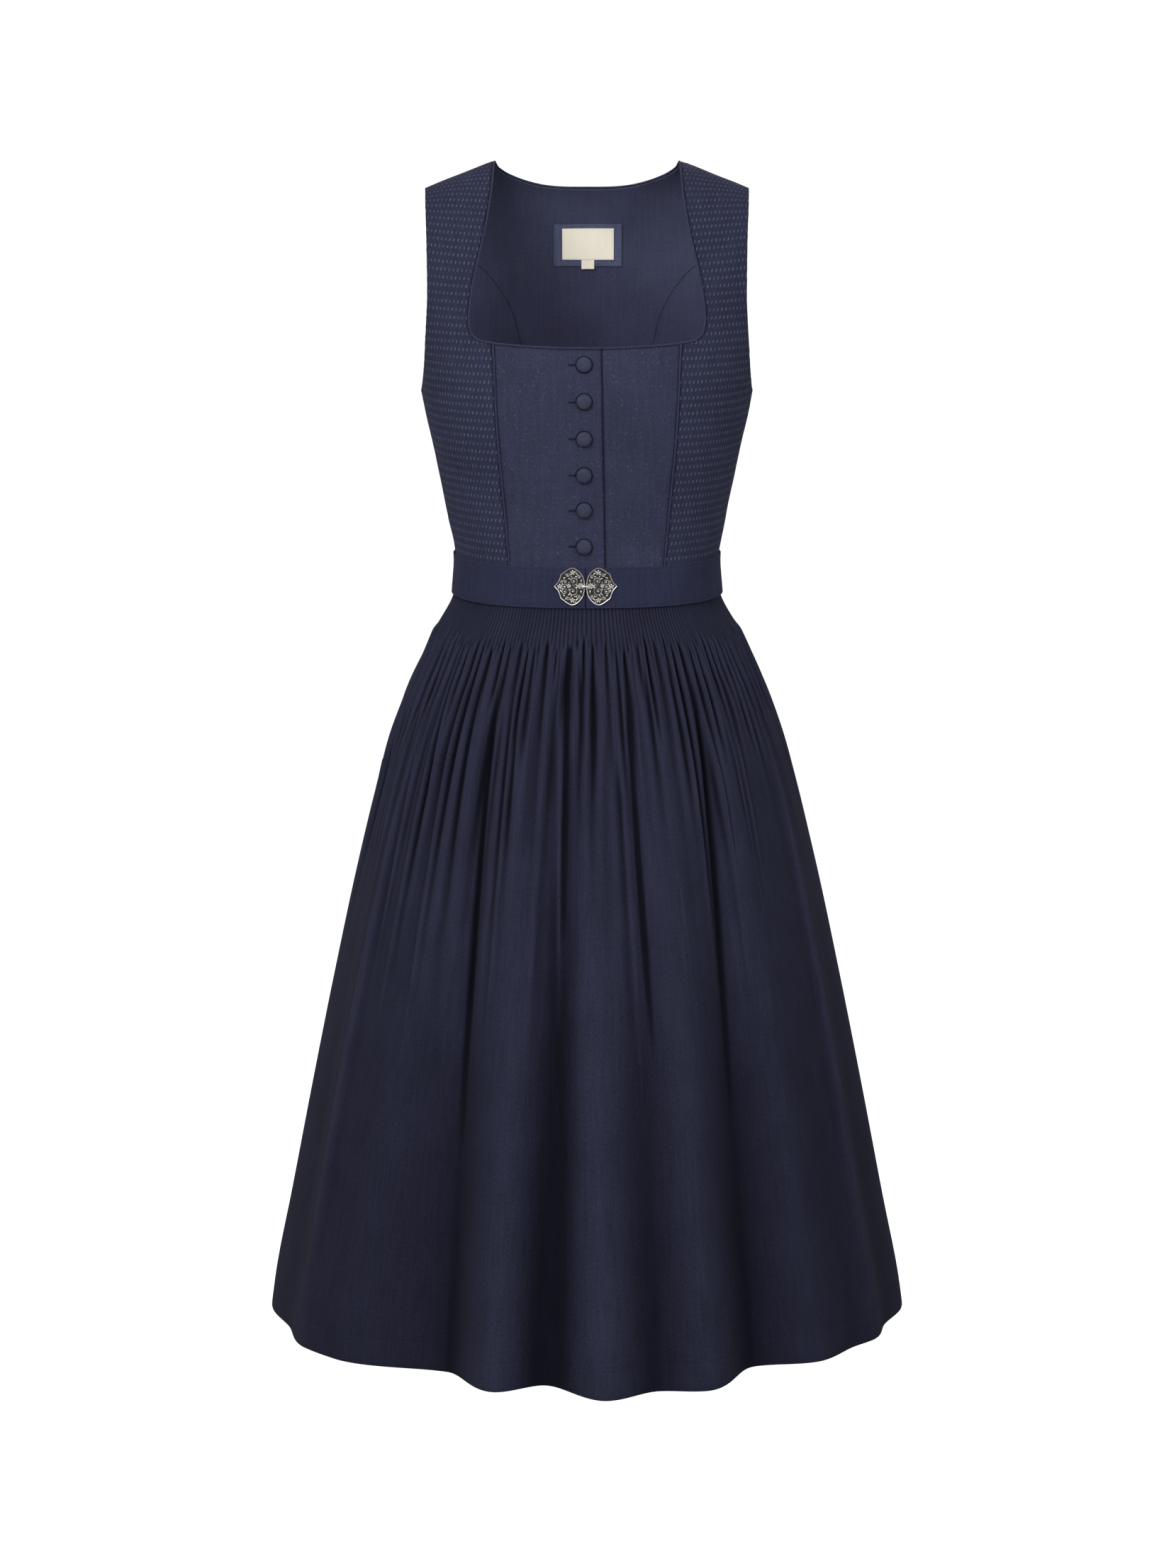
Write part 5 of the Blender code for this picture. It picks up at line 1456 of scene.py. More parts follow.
def skirt_sheet(half, across, coarse, inner):
    """Points, outward directions, turns and heights of a net, and the form without its folds."""
    start = -90.0 if half == "front" else 90.0
    rows = np.concatenate([np.linspace(*run) for run in ROW_RUNS])[::coarse]
    z, turn = np.meshgrid(np.concatenate([rows, HEM_ROWS]), start + np.linspace(0.0, 180.0, across + 1),
                          indexing="ij")
    if inner:
        band = eased((z - BAND_END) / BAND_RUN) * TWICE_FOLDED
        hem = TWICE_FOLDED * eased((HEM_STITCH_Z + STITCH_RUN - z) / STITCH_RUN)
        sink = SKIRT_WALL + band + hem - LOWER_EDGE * eased((HEM_Z + LOWER_INNER_RUN - z) / LOWER_INNER_RUN)
    else:
        width = math.radians(1.0) * SKIRT_HALF(-z) * np.minimum(turn - start, start + 180.0 - turn)
        sink = edge_sink(width) + SIDE_SEAM_SINK * np.exp(-(width / SIDE_SEAM_RUN) ** 2)
        sink = sink + STITCH_SINK * np.exp(-((z - HEM_STITCH_Z) / STITCH_RUN) ** 2)
        sink = sink + LOWER_EDGE * eased((HEM_Z + LOWER_OUTER_RUN - z) / LOWER_OUTER_RUN)
    points, outward, out = skirt_places(half, turn, z, sink)
    return points, outward, turn, z, points - outward * out[..., None]


def grid_quads(rows, across, start):
    number = start + np.arange(rows * across).reshape(rows, across)
    corners = [number[:-1, :-1], number[1:, :-1], number[1:, 1:], number[:-1, 1:]]
    return number, np.stack(corners, -1).reshape(-1, 4).tolist()


def zip_edges(first, second):
    """Faces between two rows of nodes that may differ in number."""
    faces = []
    i = j = 0
    a_last, b_last = len(first) - 1, len(second) - 1
    while i < a_last or j < b_last:
        if j == b_last or (i < a_last and (i + 1) / a_last <= (j + 1) / b_last + 1e-9):
            faces.append((first[i], second[j], first[i + 1]))
            i += 1
        else:
            faces.append((first[i], second[j], second[j + 1]))
            j += 1
    return faces


def wall_of_nets(out_shape, in_shape):
    """Faces of the outer net, of the inner net, and between their four edges."""
    out_number, faces = grid_quads(*out_shape, 0)
    in_number, in_quads = grid_quads(*in_shape, out_number.size)
    faces += [quad[::-1] for quad in in_quads]
    rims = ((out_number[-1], in_number[-1], 1), (out_number[0], in_number[0], -1),
            (out_number[:, 0], in_number[:, 0], 1), (out_number[:, -1], in_number[:, -1], -1))
    for first, second, step in rims:
        faces += [face[::step] for face in zip_edges(first.tolist(), second.tolist())]
    return faces


print("rows of the outer net:", sum(run[2] for run in ROW_RUNS) + len(HEM_ROWS))

# %% [markdown]
# Deep between two folds a cloth gets less light than on their tops. So every node keeps how much
# lower it lies than the cloth on both sides of it, and this is painted into the cloth's colour:
# painted shade in the grooves, a painted highlight on the ridges. It is measured over windows of
# several widths, from the fine ribs to the broad folds.

# %% Painted shade and highlight on the skirt
# Windows in columns of nodes, the rise that counts as full depth, and the weight
SHADING_WINDOWS = ((3, 0.0008, 0.75), (9, 0.0035, 0.55), (24, 0.0065, 0.42), (64, 0.017, 0.12))
# Painted shade: the skirt is painted darker towards the hem, and its painted fold shade is softer there
LOW_PAINTED_SHADE, LOW_START, LOW_REACH = 0.30, -0.62, 0.45        # less light reaches the cloth toward the hem
LOW_CALM = 0.30                                           # and its folds are softer there
# The strongest painted highlight on a raised fold
MOST_PAINTED_HIGHLIGHT = -0.35


def store_painted_shading(piece, form, outward):
    """Keeps how much lower each outer node lies than its neighbours in the row, as painted shade and
    highlight for the colour, with more painted shade towards the hem.
    """
    mesh = piece.data
    nodes = np.empty(3 * len(mesh.vertices))
    mesh.vertices.foreach_get("co", nodes)
    outer = nodes.reshape(-1, 3)[:form.shape[0] * form.shape[1]].reshape(form.shape)
    rise = np.einsum("ijk,ijk->ij", outer - form, outward)
    painted_shading = np.zeros(rise.shape)
    for reach, full, weight in SHADING_WINDOWS:
        padded = np.pad(rise, ((0, 0), (reach, reach)), mode="reflect")
        summed = np.cumsum(np.pad(padded, ((0, 0), (1, 0))), axis=1)
        mean = (summed[:, 2 * reach + 1:] - summed[:, :-2 * reach - 1]) / (2 * reach + 1)
        painted_shading += weight * np.clip((mean - rise) / full, -0.5, 1.0)
    low = eased((LOW_START - outer[..., 2]) / LOW_REACH)
    painted_shading = painted_shading * (1.0 - LOW_CALM * low) + LOW_PAINTED_SHADE * low
    values = np.zeros(len(mesh.vertices))
    values[:painted_shading.size] = np.clip(painted_shading, MOST_PAINTED_HIGHLIGHT, 1.0).ravel()
    store(mesh, "painted_shading", values)
    print(piece.name, "hollow from", painted_shading.min().round(2), "to", painted_shading.max().round(2))
    return outer


print("windows:", len(SHADING_WINDOWS))

# %% [markdown]
# Now the two lengths are made. Each net carries the angle round the dress and the direction out of
# it, which the pleats need. The flat size is that of the cloth before it is gathered.

# %% Skirt lengths
SKIRT_CUT = (1.03, 0.79)
OUTER_COLUMNS = 702   # six to a rib
HEM_LINES = []        # where the hem is stitched, for the thread further down


def skirt_length(half):
    outer, inner = (skirt_sheet(half, OUTER_COLUMNS // coarse, coarse, coarse == 2) for coarse in (1, 2))
    points, outward, turn, height, _ = (
        np.concatenate([part.reshape(-1, *part.shape[2:]) for part in both]) for both in zip(outer, inner))
    flat = np.stack([turn / 180.0 * SKIRT_CUT[0], height * SKIRT_CUT[1] / (SKIRT_TOP_Z - HEM_Z)], axis=1)
    out_z, form = outer[3:]
    mesh = bpy.data.meshes.new(f"skirt_{half}_cloth")
    mesh.from_pydata(points.tolist(), [], wall_of_nets(out_z.shape, inner[3].shape))
    store(mesh, "turn", turn)
    store(mesh, "outside", np.concatenate([np.ones(out_z.size), np.zeros(inner[3].size)]))
    store(mesh, "outward", outward, "FLOAT_VECTOR")
    lay_flat(mesh, flat)
    piece = link_new(mesh.name, mesh)
    run_nodes(piece, cartridge_pleats, {"Ribs": RIBS, "Seed": PLEAT_SEED, "Material": SKIRT_CLOTH})
    nodes = store_painted_shading(piece, form, outer[1])
    HEM_LINES.append(nodes[np.argmin(np.abs(out_z[:, 0] - HEM_STITCH_Z))])
    dress_piece(piece, "skirt_cloth", f"skirt_{half}")


skirt_length("front")
skirt_length("back")

# %% [markdown]
# The belt is one stiff band of the same plain cloth, folded round an interlining. Its edges are
# pressed folds, so its section is a flat bar with round corners and a fine line just inside each
# edge, where the folded cloth below ends. It is open at the front, behind the clasp.

# %% Belt
BELT_BOTTOM = -0.4310
BELT_WALL = 0.0014
BELT_OPENING_X, BELT_OPENING = -0.0014, 0.0010
BELT_SEGMENTS = 260
BELT_SHARP = 45.0
BELT_SECTION = (
    # from the top edge, out from the inner face
    (0.0004, 0.0), (0.0, 0.0004), (0.0, 0.0009), (0.0003, 0.0013), (0.0008, 0.0014), (0.0018, 0.0014),
    (0.0022, 0.00128), (0.0026, 0.0014), (0.008, 0.00145), (0.014, 0.0015),
)


def round_waist(angle, z, out):
    """Points round the waist at angles from the front centre, moved out from the bodice."""
    angle, z, out = np.broadcast_arrays(angle, z, out)
    turn = (angle + math.pi) % TURN - math.pi
    front = np.abs(turn) <= math.pi / 2
    s = np.where(front, place("front", 0.0 * z, z)[..., 0], place("back", 0.0 * z, z)[..., 0])
    where = np.where(front, turn, np.copysign(math.pi, turn) - turn)
    return torso(s, where) + torso_normal(s, where) * out[..., None]


def ring_faces(count, around, start=0):
    """Faces of a closed form of rings of nodes, with a flat face at each end."""
    number = start + np.arange(count * around).reshape(count, around)
    ahead = np.roll(number, -1, axis=1)
    sides = np.stack([number[:-1], ahead[:-1], ahead[1:], number[1:]], -1).reshape(-1, 4)
    return sides.tolist() + [number[0].tolist(), number[-1].tolist()]


def belt_band():
    down, out = columns(BELT_SECTION)
    half = list(zip(BELT_TOP - down, out))
    z, out = columns(half + [(BELT_TOP + BELT_BOTTOM - z, o) for z, o in half[::-1]])
    start = (BELT_OPENING_X + 0.5 * BELT_OPENING) / WAIST_HALF_WIDTH
    share = np.linspace(0.0, 1.0, BELT_SEGMENTS + 1)[:, None]
    angle = start + (TURN - BELT_OPENING / WAIST_HALF_WIDTH) * share
    dents = 0.0002 * np.sin(5 * angle + 0.6) + 0.00012 * np.sin(13 * angle + 40 * z)
    rings = round_waist(angle, z[None], LAYER_GAP + out[None] + np.where(out > 0.001, dents, 0.0))
    piece = new_piece("belt_band", rings.reshape(-1, 3), ring_faces(*rings.shape[:2]), [BELT_CLOTH],
                      BELT_SHARP, outwards=True)
    walk = walk_along(np.stack([z, out], axis=-1))
    flat = np.stack(np.broadcast_arrays(angle * WAIST_HALF_WIDTH, -walk[None]), axis=-1)
    lay_flat(piece.data, flat.reshape(-1, 2))
    return piece


belt = belt_band()
dress_piece(belt, "belt_cloth", "belt")

# %% [markdown]
# Old silver is bright only where hands polish it. In the hollows it keeps a black film, and makers
# of such clasps blacken the ground on purpose, so that the scrolls stand out. Each node of the
# clasp knows how far it is raised, and the material goes from black film to silver with that.

# %% Silver materials
BLACK_FILM = (0.010, 0.0095, 0.009, 1.0)


def silver(name, colour, rough, film=True):
    made, tree, surface = new_material(name)
    where = object_place(tree)
    wear = tree.noise(where, 900.0, 3.0)
    if film:
        raised = tree.add("ShaderNodeAttribute", attribute_name="raised").outputs["Fac"]
        lifted = tree.plus(raised, tree.times(tree.minus(wear, 0.5), 0.5))
        bright = tree.ramp(lifted, 0.34, 0.74)
    else:
        bright = tree.ramp(wear, 0.2, 0.5, 0.85, 1.0)
    scratches = {"Height": tree.noise(where, 4200.0, 2.0), "Strength": 0.25, "Distance": 0.0002}
    tree.fill(surface, {"Base Color": tree.mix(bright, BLACK_FILM, (*colour, 1.0)),
                        "Metallic": tree.ramp(bright, 0.0, 0.6, 0.1, 1.0),
                        "Roughness": tree.times_plus(wear, 0.25, rough),
                        "Normal": tree.first("ShaderNodeBump", scratches)})
    return made


OLD_SILVER = silver("old_silver", (0.68, 0.655, 0.625), 0.27)
BRIGHT_SILVER = silver("polished_silver", (0.80, 0.78, 0.74), 0.12, film=False)
print("metals:", OLD_SILVER.name, BRIGHT_SILVER.name)

# %% [markdown]
# The clasp has two mirrored halves, cast with a raised rim and a relief of scrolls, leaves and
# blossoms, an old pattern of such fastenings. The scrolls are spirals that end in a bud. The layout
# here is made up for this model. Places are flat ones, out from the middle of the clasp and up.

# %% The clasp's pattern
CLASP_OUTLINE = (
    # out, up
    (0.0004, 0.0), (0.0009, 0.005), (0.0021, 0.0095), (0.0052, 0.0143), (0.009, 0.0176),
    (0.0134, 0.0188), (0.017, 0.0174), (0.0212, 0.0144), (0.0244, 0.0118), (0.0255, 0.0085),
    (0.0269, 0.005), (0.0312, 0.0),
)
# Scrolls: middle, start angle in degrees, turns, start and end radius
SCROLLS = (
    (0.0124, -0.0048, 100, 1.35, 0.0046, 0.0011), (0.0117, 0.0053, -70, -1.3, 0.0041, 0.001),
    (0.0203, 0.0043, 215, 1.2, 0.0031, 0.0009), (0.0205, -0.0053, 150, -1.2, 0.0031, 0.0009),
    (0.0064, 0.0093, 300, 1.05, 0.0023, 0.0008), (0.0066, -0.0099, 60, -1.05, 0.0023, 0.0008),
    (0.0172, 0.0108, 200, -1.05, 0.0021, 0.0007), (0.0172, -0.0114, 160, 1.05, 0.0021, 0.0007),
)
# Blossoms: middle, petals, reach
BLOSSOMS = (
    (0.0052, 0.0002, 8, 0.0033), (0.0126, 0.0136, 5, 0.0028), (0.0126, -0.0139, 5, 0.0028),
    (0.0252, -0.0003, 5, 0.0029), (0.0164, 0.0002, 6, 0.0024),
)
# Leaves: middle, direction in degrees, length, width
LEAVES = (
    (0.0088, 0.0127, 40, 0.0038, 0.0018), (0.0086, -0.0132, -40, 0.0038, 0.0018),
    (0.0042, 0.0055, 100, 0.0038, 0.0018), (0.0043, -0.0057, -100, 0.0038, 0.0018),
    (0.0158, 0.0076, 20, 0.0036, 0.0017), (0.016, -0.008, -25, 0.0036, 0.0017),
    (0.0207, 0.0085, 150, 0.0034, 0.0016), (0.0208, -0.0092, -150, 0.0032, 0.0016),
    (0.024, 0.0046, 115, 0.0034, 0.0016), (0.0242, -0.0047, -115, 0.0034, 0.0016),
    (0.0087, 0.0009, 60, 0.0032, 0.0015), (0.009, -0.0012, -30, 0.003, 0.0015),
    (0.0208, -0.0005, 5, 0.0036, 0.0016), (0.0093, 0.0098, 165, 0.003, 0.0014),
    (0.0098, -0.0101, 190, 0.003, 0.0014), (0.014, -0.0096, 300, 0.003, 0.0014),
    (0.0136, 0.0096, 60, 0.003, 0.0014), (0.015, 0.0119, 110, 0.0026, 0.0013),
    (0.0151, -0.0124, -110, 0.0026, 0.0013), (0.0028, 0.0022, 120, 0.0026, 0.0013),
    (0.0028, -0.002, -120, 0.0026, 0.0013), (0.0196, 0.0121, 60, 0.0024, 0.0012),
    (0.0196, -0.0127, -60, 0.0024, 0.0012), (0.0227, 0.002, 40, 0.0026, 0.0013),
    (0.0227, -0.0023, -40, 0.0026, 0.0013), (0.0162, 0.0037, 80, 0.0026, 0.0013),
    (0.0163, -0.0035, -80, 0.0026, 0.0013), (0.0097, 0.0151, 20, 0.0024, 0.0012),
    (0.0098, -0.0156, -20, 0.0024, 0.0012),
)
print("scrolls:", len(SCROLLS), "blossoms:", len(BLOSSOMS), "leaves:", len(LEAVES))

# %% [markdown]
# Two simple forms make the whole relief: a half-round wire for the scrolls, and a pointed drop for
# leaves, petals and buds. Each is closed and stands a hair deep in the ground.

# %% Forms of the relief
CLASP_GROUND = 0.0005
RELIEF_FOOT = CLASP_GROUND - 0.0001
DROP_LAYERS = (
    # share of the reach, share of the rise
    (1.0, 0.0), (0.93, 0.45), (0.72, 0.82), (0.35, 1.0), (0.08, 1.0),
)


class Relief:
    """Collects closed forms in flat clasp coordinates: out, up, height, and how far raised."""

    def __init__(self):
        self.nodes, self.faces = [], []

    def rings(self, rings):
        """Rings of equal length, each a list of (out, up, height, raised); the ends are closed."""
        self.faces += ring_faces(len(rings), len(rings[0]), len(self.nodes))
        for ring in rings:
            self.nodes.extend(map(tuple, ring))

    def wire(self, line, width, rise):
        """A half-round wire on the ground along a flat line."""
        ahead = unit(np.gradient(line, axis=0))
        aside = np.stack([-ahead[:, 1], ahead[:, 0]], axis=1)
        self.rings([[(*(line[k] + aside[k] * math.cos(a) * width[k]), RELIEF_FOOT + math.sin(a) * rise[k],
                      math.sin(a)) for a in np.linspace(0.0, math.pi, 6)] for k in range(len(line))])

    def drop(self, middle, degrees, length, width, rise):
        """A leaf or petal: a pointed dome with a round end."""
        a = math.radians(degrees)
        along, aside = np.array([math.cos(a), math.sin(a)]), np.array([-math.sin(a), math.cos(a)])
        rings = []
        for share, top in DROP_LAYERS:
            ring = []
            for b in np.linspace(0.0, TURN, 14, endpoint=False):
                taper = 1.0 - 0.55 * eased(0.5 + 0.5 * math.cos(b))
                reach = along * math.cos(b) * length / 2 + aside * math.sin(b) * taper * width / 2
                ring.append((*(np.array(middle) + share * reach), RELIEF_FOOT + rise * top, top))
            rings.append(ring)
        self.rings(rings)


def clasp_relief():
    relief = Relief()
    for x, up, degrees, turns, wide, narrow in SCROLLS:
        t = np.linspace(0.0, 1.0, 44)
        a = math.radians(degrees) + turns * TURN * t
        radius = narrow + (wide - narrow) * (1.0 - t) ** 0.85
        line = np.stack([x + radius * np.cos(a), up + radius * np.sin(a)], axis=1)
        swell = 0.00036 + 0.00024 * np.sin(math.pi * np.clip(t * 1.15, 0, 1))
        relief.wire(line, swell, 1.25 * swell + 0.0003)
        relief.drop((x, up), degrees + 40, 2.2 * narrow, 2.2 * narrow, 0.00080)
    for x, up, petals, reach in BLOSSOMS:
        for k in range(petals):
            degrees = 360.0 * k / petals + 17.0
            a = math.radians(degrees)
            middle = (x + 0.56 * reach * math.cos(a), up + 0.56 * reach * math.sin(a))
            broad = 1.10 * reach * math.sin(math.pi / petals) + 0.0003
            relief.drop(middle, degrees + 180.0, 0.85 * reach, broad, 0.00070)
        relief.drop((x, up), 0.0, 0.62 * reach, 0.62 * reach, 0.00095)
    for x, up, degrees, length, width in LEAVES:
        relief.drop((x, up), degrees, length, width, 0.00070)
    return relief


print("nodes of the relief:", len(clasp_relief().nodes))

# %% [markdown]
# The plate below the relief is a stack of outlines: up its side, over the rounded rim, and down to
# the sunk ground. Plate and relief are drawn flat and then bent onto the belt together.

# %% Clasp halves
CLASP_Z, CLASP_SEAT = -0.4080, 0.0005
CLASP_BACK = LAYER_GAP + BELT_WALL + CLASP_SEAT
CLASP_PLATE, CLASP_RIM, RIM_ROUND = 0.0016, 0.00100, 0.0003
CLASP_MIDDLE = np.array([0.0146, 0.0])
CLASP_SHARP = 50.0
OUTLINE_NODES = 66


def inset(outline, distance):
    ahead = unit(np.roll(outline, -1, axis=0) - np.roll(outline, 1, axis=0))
    return outline + np.stack([ahead[:, 1], -ahead[:, 0]], axis=1) * distance


def clasp_outline(count):
    upper = np.stack(columns(CLASP_OUTLINE), axis=1)
    walk = walk_along(upper)
    even = np.linspace(0.0, walk[-1], count)
    upper = np.stack([Curve(walk, column)(even) for column in upper.T], axis=1)
    return np.concatenate([upper, upper[-2:0:-1] * MIRROR])


def clasp_half(node, sign):
    relief = clasp_relief()
    outline = clasp_outline(OUTLINE_NODES)
    ground = inset(outline, CLASP_RIM + RIM_ROUND)
    layers = [(outline, 0.0, 0.8), (outline, CLASP_PLATE - 0.0004, 1.0),
              (inset(outline, RIM_ROUND), CLASP_PLATE, 1.0),
              (inset(outline, CLASP_RIM - RIM_ROUND), CLASP_PLATE, 1.0),
              (inset(outline, CLASP_RIM), CLASP_PLATE - RIM_ROUND, 0.8), (ground, CLASP_GROUND, 0.0)]
    layers += [(CLASP_MIDDLE + (ground - CLASP_MIDDLE) * share, CLASP_GROUND, 0.0)
               for share in (0.75, 0.5, 0.25, 0.05)]
    relief.rings([[(*p, height, raised) for p in ring] for ring, height, raised in layers])
    out, up, height, raised = columns(relief.nodes)
    angle = np.arcsin((BELT_OPENING_X + sign * out) / WAIST_HALF_WIDTH)
    points = round_waist(angle, CLASP_Z + up, CLASP_BACK + height)
    faces = [face[::-1] for face in relief.faces] if sign > 0 else relief.faces
    piece = new_piece(f"{node}_silver", points, faces, [OLD_SILVER], CLASP_SHARP, outwards=True)
    store(piece.data, "raised", raised)
    dress_piece(piece, "clasp_metal", node)


clasp_half("clasp_right", -1.0)
clasp_half("clasp_left", 1.0)

# %% [markdown]
# A small hook on one half is caught by an eye on the other. From the front only its polished knob
# shows, with the short bar below it that crosses the opening. Both are stretched balls.

# %% Clasp hook
HOOK_KNOB, HOOK_SHIFT, KNOB_RISE = (0.0019, 0.0016, 0.0019), 0.0019, 0.0009
HOOK_BAR, BAR_SHIFT = (0.0034, 0.0006, 0.0011), (0.0020, 0.0002, -0.0001)


def ball(middle, size, around, down):
    """Points and faces of a stretched ball: rings of nodes between two poles."""
    tilt, turn = np.meshgrid(np.linspace(0.0, math.pi, down + 1)[1:-1],
                             np.linspace(0.0, TURN, around, endpoint=False), indexing="ij")
    rings = np.stack([np.sin(tilt) * np.cos(turn), np.sin(tilt) * np.sin(turn), np.cos(tilt)], axis=-1)
    nodes = np.concatenate([rings.reshape(-1, 3), [[0.0, 0.0, 1.0], [0.0, 0.0, -1.0]]])
    *faces, first, last = ring_faces(down - 1, around)
    for ring, pole in ((first, len(nodes) - 2), (last, len(nodes) - 1)):
        faces += [[pole, a, b] for a, b in zip(ring, ring[1:] + ring[:1])]
    return middle + nodes * size, faces


def clasp_hook():
    knob_angle = np.array([(BELT_OPENING_X - HOOK_SHIFT) / WAIST_HALF_WIDTH])
    middle = round_waist(knob_angle, CLASP_Z, CLASP_BACK + CLASP_PLATE + SEAM_GAP + KNOB_RISE)[0]
    knob, faces = ball(middle, HOOK_KNOB, 28, 16)
    bar, bar_faces = ball(middle + BAR_SHIFT, HOOK_BAR, 20, 10)
    faces += [[len(knob) + number for number in face] for face in bar_faces]
    points = np.concatenate([knob, bar])
    piece = new_piece("clasp_hook_silver", points, faces, [BRIGHT_SILVER], outwards=True)
    dress_piece(piece, "clasp_metal", "clasp_hook")


clasp_hook()

# %% [markdown]
# Each button is a metal dome covered with a round of cloth, which is gathered under its rim. The
# gathers show as fine puckers at the edge. Each button is turned further than the one above.

# %% Covered buttons
BUTTON_X, BUTTON_RADIUS, BUTTON_SEAT = -0.0028, 0.0077, 0.0005
BUTTON_Z = (-0.1890, -0.2245, -0.2610, -0.2970, -0.3320, -0.3690)
BUTTON_SECTION = (
    # share of the radius, height
    (0.6, 0.0), (0.86, 0.0001), (0.95, 0.0005), (0.99, 0.0011), (1.0, 0.0018), (0.985, 0.0026),
    (0.945, 0.0033), (0.87, 0.004), (0.76, 0.0046), (0.62, 0.0051), (0.46, 0.0054), (0.28, 0.0056),
    (0.1, 0.0057),
)
BUTTON_AROUND, BUTTON_TURN = 60, 0.7
GATHERED_FROM, GATHERED_RUN = 0.80, 0.18       # shares of the radius
GATHER_SINK = 0.00012


def button_frame(z):
    point, axis = on_form(place("front", BUTTON_X, z))
    base = point + axis * (over_lift(point[0], point[2]) + BUTTON_SEAT)
    side = unit(np.cross(axis, [0.0, 0.0, 1.0]))
    return base, side, np.cross(side, axis), axis


def covered_button(number, z):
    base, side, top, axis = button_frame(z)
    turn = np.linspace(0.0, TURN, BUTTON_AROUND, endpoint=False) + BUTTON_TURN * number
    rings = []
    for share, height in BUTTON_SECTION:
        waves = 0.00010 * np.sin(15 * turn) + 0.00006 * np.sin(22 * turn + number)
        gather = eased((share - GATHERED_FROM) / GATHERED_RUN) * waves
        radius = share * BUTTON_RADIUS + gather - GATHER_SINK
        reach = side * (np.cos(turn) * radius)[:, None] + top * (np.sin(turn) * radius)[:, None]
        rings.append(base + reach + axis * (height + 0.4 * gather * (height > 0.001))[:, None])
    points, faces = np.concatenate(rings), ring_faces(len(rings), BUTTON_AROUND)
    piece = new_piece(f"button_{number}_covered", points, faces, [BUTTON_CLOTH], outwards=True)
    dress_piece(piece, "button_cloth", f"button_{number}")


for number, z in enumerate(BUTTON_Z, start=1):
    covered_button(number, z)

# %% [markdown]
# The buttonholes are worked by hand in close buttonhole stitch: many short threads side by side
# above and below a cut. Only the part beside the button shows. The same tree sets these threads
# and later the stitches of the hem and the label.

# %% Buttonholes
HOLE_REACH, HOLE_START = 0.0150, 0.0062        # from the button's middle
HOLE_DROP, HOLE_TILT, HOLE_WIDTH = 0.0003, 0.035, 0.00036
HOLE_EDGE = 0.00075                            # the threads lie this far above and below the cut
ON_CLOTH = 0.0001


def on_front(x, z, out):
    """Points on the folded right front, moved out from it, and the direction out of the cloth."""
    point, up = on_form(place("front", x, z))
    x, z = point[..., 0], point[..., 2]
    form = over_lift(x, z) + bodice_folds("front", x, z)
    return point + up * (form + out)[..., None], up


def hole_paths(rise, out):
    paths = []
    for k, z in enumerate(BUTTON_Z):
        tilt = HOLE_TILT * math.sin(2.1 * k)
        x = np.linspace(BUTTON_X - HOLE_REACH, BUTTON_X - HOLE_START, 12)
        line, up = on_front(x, z - HOLE_DROP + rise + tilt * (x - BUTTON_X), out)
        paths.append((line, up, HOLE_WIDTH, False))
    return paths


def thread_piece(name, paths, pitch, length, width, turn, material, slot, seed):
    path_piece(name, paths, stitch_row, {"Pitch": pitch, "Length": length, "Thread": width, "Turn": turn,
                                         "Seed": seed, "Material": material}, slot)


hole_edges = hole_paths(HOLE_EDGE, ON_CLOTH) + hole_paths(-HOLE_EDGE, ON_CLOTH)
thread_piece("buttonhole_threads", hole_edges, 0.00048, 0.0013, 0.00046, 0.5 * math.pi, BUTTONHOLE_THREAD,
             "bodice_cloth", 3)
# A near-black cord along each cut: painted shadow in the slit between the two rows of threads.
cord_piece("buttonhole_cut_shadows", hole_paths(0.0, 0.0), 0.0006, 8, SHADOW_AND_THREAD, "bodice_cloth")

# %% [markdown]
# A thin dark ring lies just outside the rim of each button. It is partly a dark thread wound round
# the foot of the button, between the dome and the cloth, and partly painted shadow of the button.

# %% Thread rings and painted shadow
RING_RADIUS, RING_WIDTH = 0.0080, 0.00042


def ring_path(z):
    a = np.linspace(0.0, TURN, 48, endpoint=False)
    line, up = on_front(BUTTON_X + RING_RADIUS * np.cos(a), z + RING_RADIUS * np.sin(a), ON_CLOTH)
    return line, up, RING_WIDTH, True


# Near-black rings: thread and painted shadow round each button.
cord_piece("button_rings_thread_and_shadow", [ring_path(z) for z in BUTTON_Z], 0.0008, 8, SHADOW_AND_THREAD, "button_cloth")

# %% [markdown]
# The hem is turned up and caught by small hand stitches. Each shows outside as a short dark thread
# in a shallow dimple that the stitch pulls into the cloth.

# %% Hem stitches
HEM_OUT, HEM_WIDTH, HEM_NODES = 0.00005, 0.00022, 3      # every third node of the hem is enough


def hem_path(line):
    up = unit(np.cross(np.gradient(line, axis=0), [0.0, 0.0, 1.0]))
    up *= np.sign(np.einsum("ij,ij->i", up, line * [1.0, 1.0, 0.0]))[:, None]
    line, up = line[::HEM_NODES], up[::HEM_NODES]
    return line + HEM_OUT * up, up, HEM_WIDTH, False


thread_piece("hem_stitches", [hem_path(line) for line in HEM_LINES], pitch=0.0042, length=0.0026,
             width=0.00042, turn=0.0, material=HEM_THREAD, slot="skirt_cloth", seed=8)

# %% [markdown]
# Inside the back of the neck sit a patch of navy cloth and, on it, a woven label with a small tab.
# All three stay bare. They are thin cloth laid on the lining and held by a line of small stitches
# along their edges.

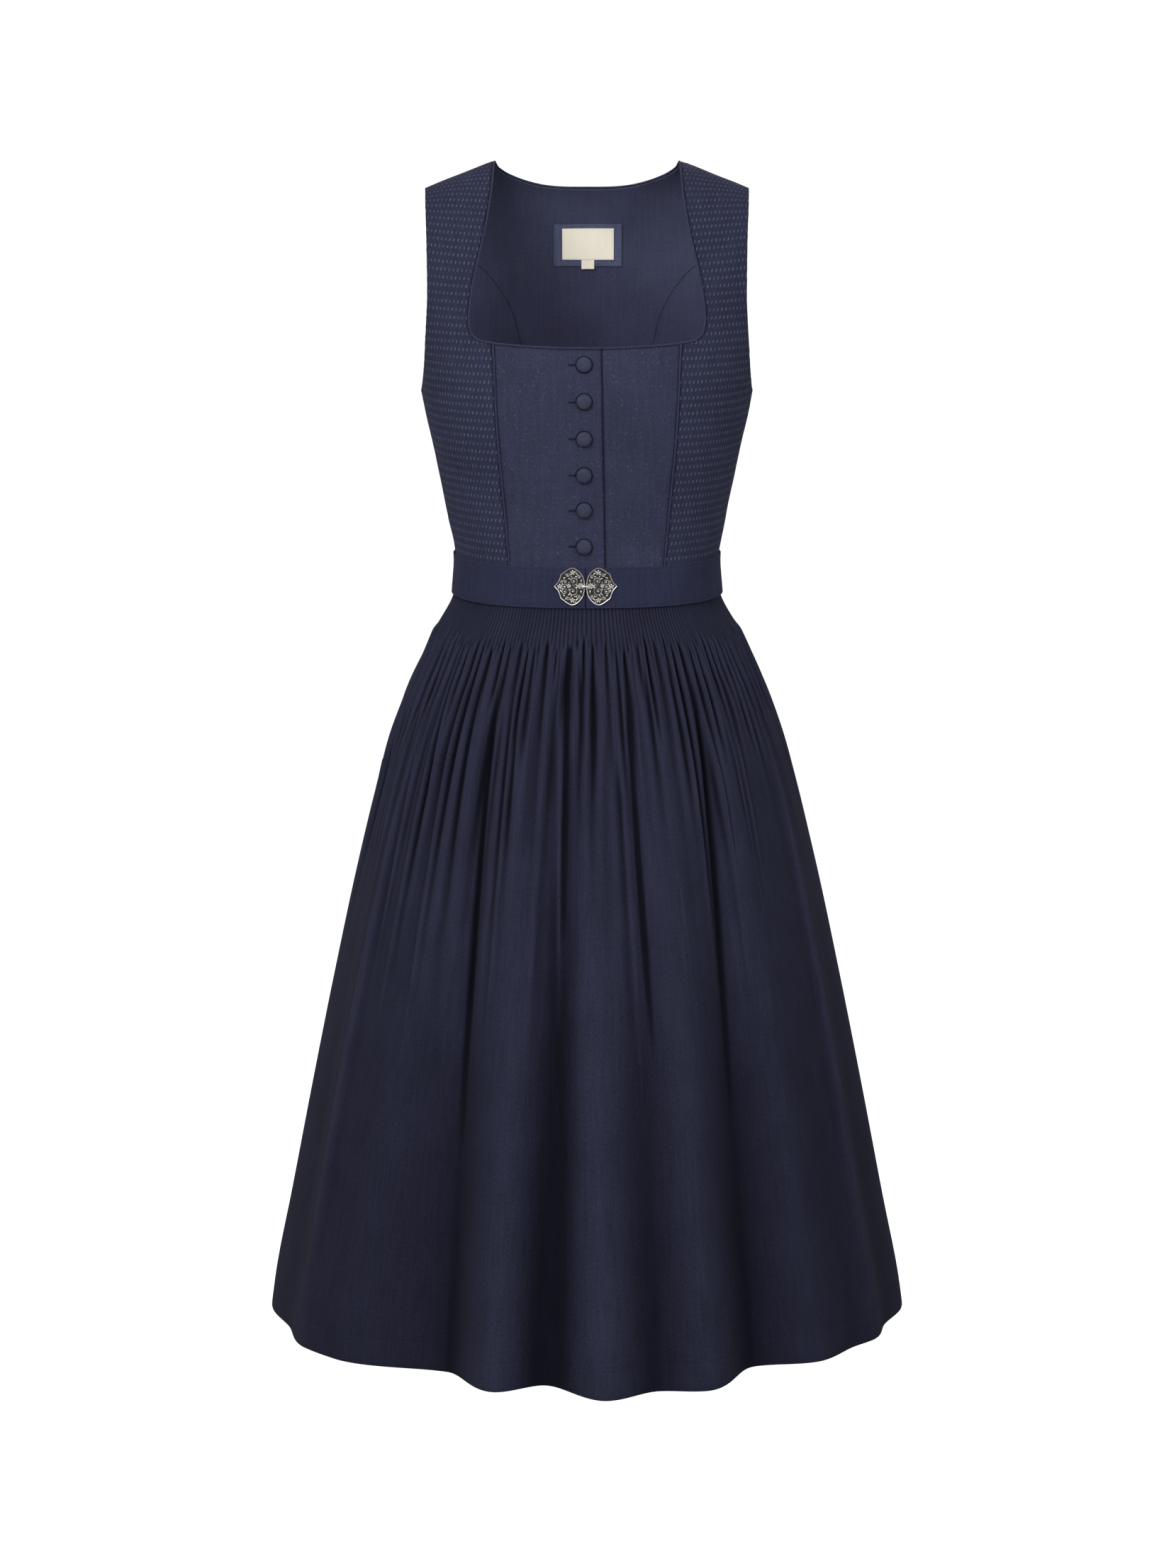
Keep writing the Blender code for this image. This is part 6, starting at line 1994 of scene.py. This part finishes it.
# %% Label pieces
PATCH, LABEL_GAP = 0.0010, 0.0006
PATCH_DEPTH = LINING_OUT + LINING + LABEL_GAP
LABEL_DEPTH = PATCH_DEPTH + PATCH + SEAM_GAP
PATCH_STEP = 0.0022
FREE_EDGE = 1.0       # far from any seam, so that the edge doesn't sink
STITCHED_IN, STITCH_OUT, STITCH_WIDTH = 0.0013, 0.00008, 0.0002
LABEL_PIECES = (
    # solid, left, right, top and bottom, depth, cloth, thread, finish, what it lies on
    ("label_patch", (-0.0338, 0.0352, -0.0685, -0.1120), PATCH_DEPTH, PATCH_CLOTH, NAVY_THREAD,
     "patch_cloth", "lining_back_center_cloth"),
    ("label", (-0.0252, 0.0272, -0.0725, -0.1048), LABEL_DEPTH, LABEL_CLOTH, CREAM_THREAD,
     "label_cloth", "label_patch_cloth"),
    ("size_tab", (-0.0057, 0.0073, -0.1052, -0.1146), LABEL_DEPTH, LABEL_CLOTH, CREAM_THREAD,
     "label_cloth", "label_patch_cloth"),
)


def stitch_path(box, depth):
    """A closed path just inside the edges of a box on the back."""
    left, right, top, bottom = (edge + STITCHED_IN * inwards for edge, inwards in zip(box, (1, -1, -1, 1)))
    corners = np.array([(left, top), (right, top), (right, bottom), (left, bottom)])
    t = np.linspace(0.0, 1.0, 24, endpoint=False)[:, None]
    line = np.concatenate([a * (1 - t) + b * t for a, b in zip(corners, np.roll(corners, -1, axis=0))])
    point, normal = on_form(place("back", *line.T))
    folds = bodice_folds("back", point[:, 0], point[:, 2])
    return point + normal * (folds - depth - PATCH - STITCH_OUT)[:, None], -normal, STITCH_WIDTH, True


for node, box, depth, material, sewn_with, slot, below in LABEL_PIECES:
    left, right, top, bottom = box
    across, down = max(6, round((right - left) / PATCH_STEP)), max(5, round((top - bottom) / PATCH_STEP))
    z, x = np.meshgrid(np.linspace(top, bottom, down), np.linspace(left, right, across), indexing="ij")
    grid = (place("back", x, z), np.full(x.shape, FREE_EDGE))
    piece, spans, _ = cloth_mesh(f"{node}_cloth", "back", [grid], depth, PATCH, [material])
    dress_piece(piece, slot, node)
    thread_piece(f"{node}_cloth_stitches", [stitch_path(box, depth)], pitch=0.0021, length=0.0015,
                 width=0.00030, turn=0.0, material=sewn_with, slot=slot, seed=9)
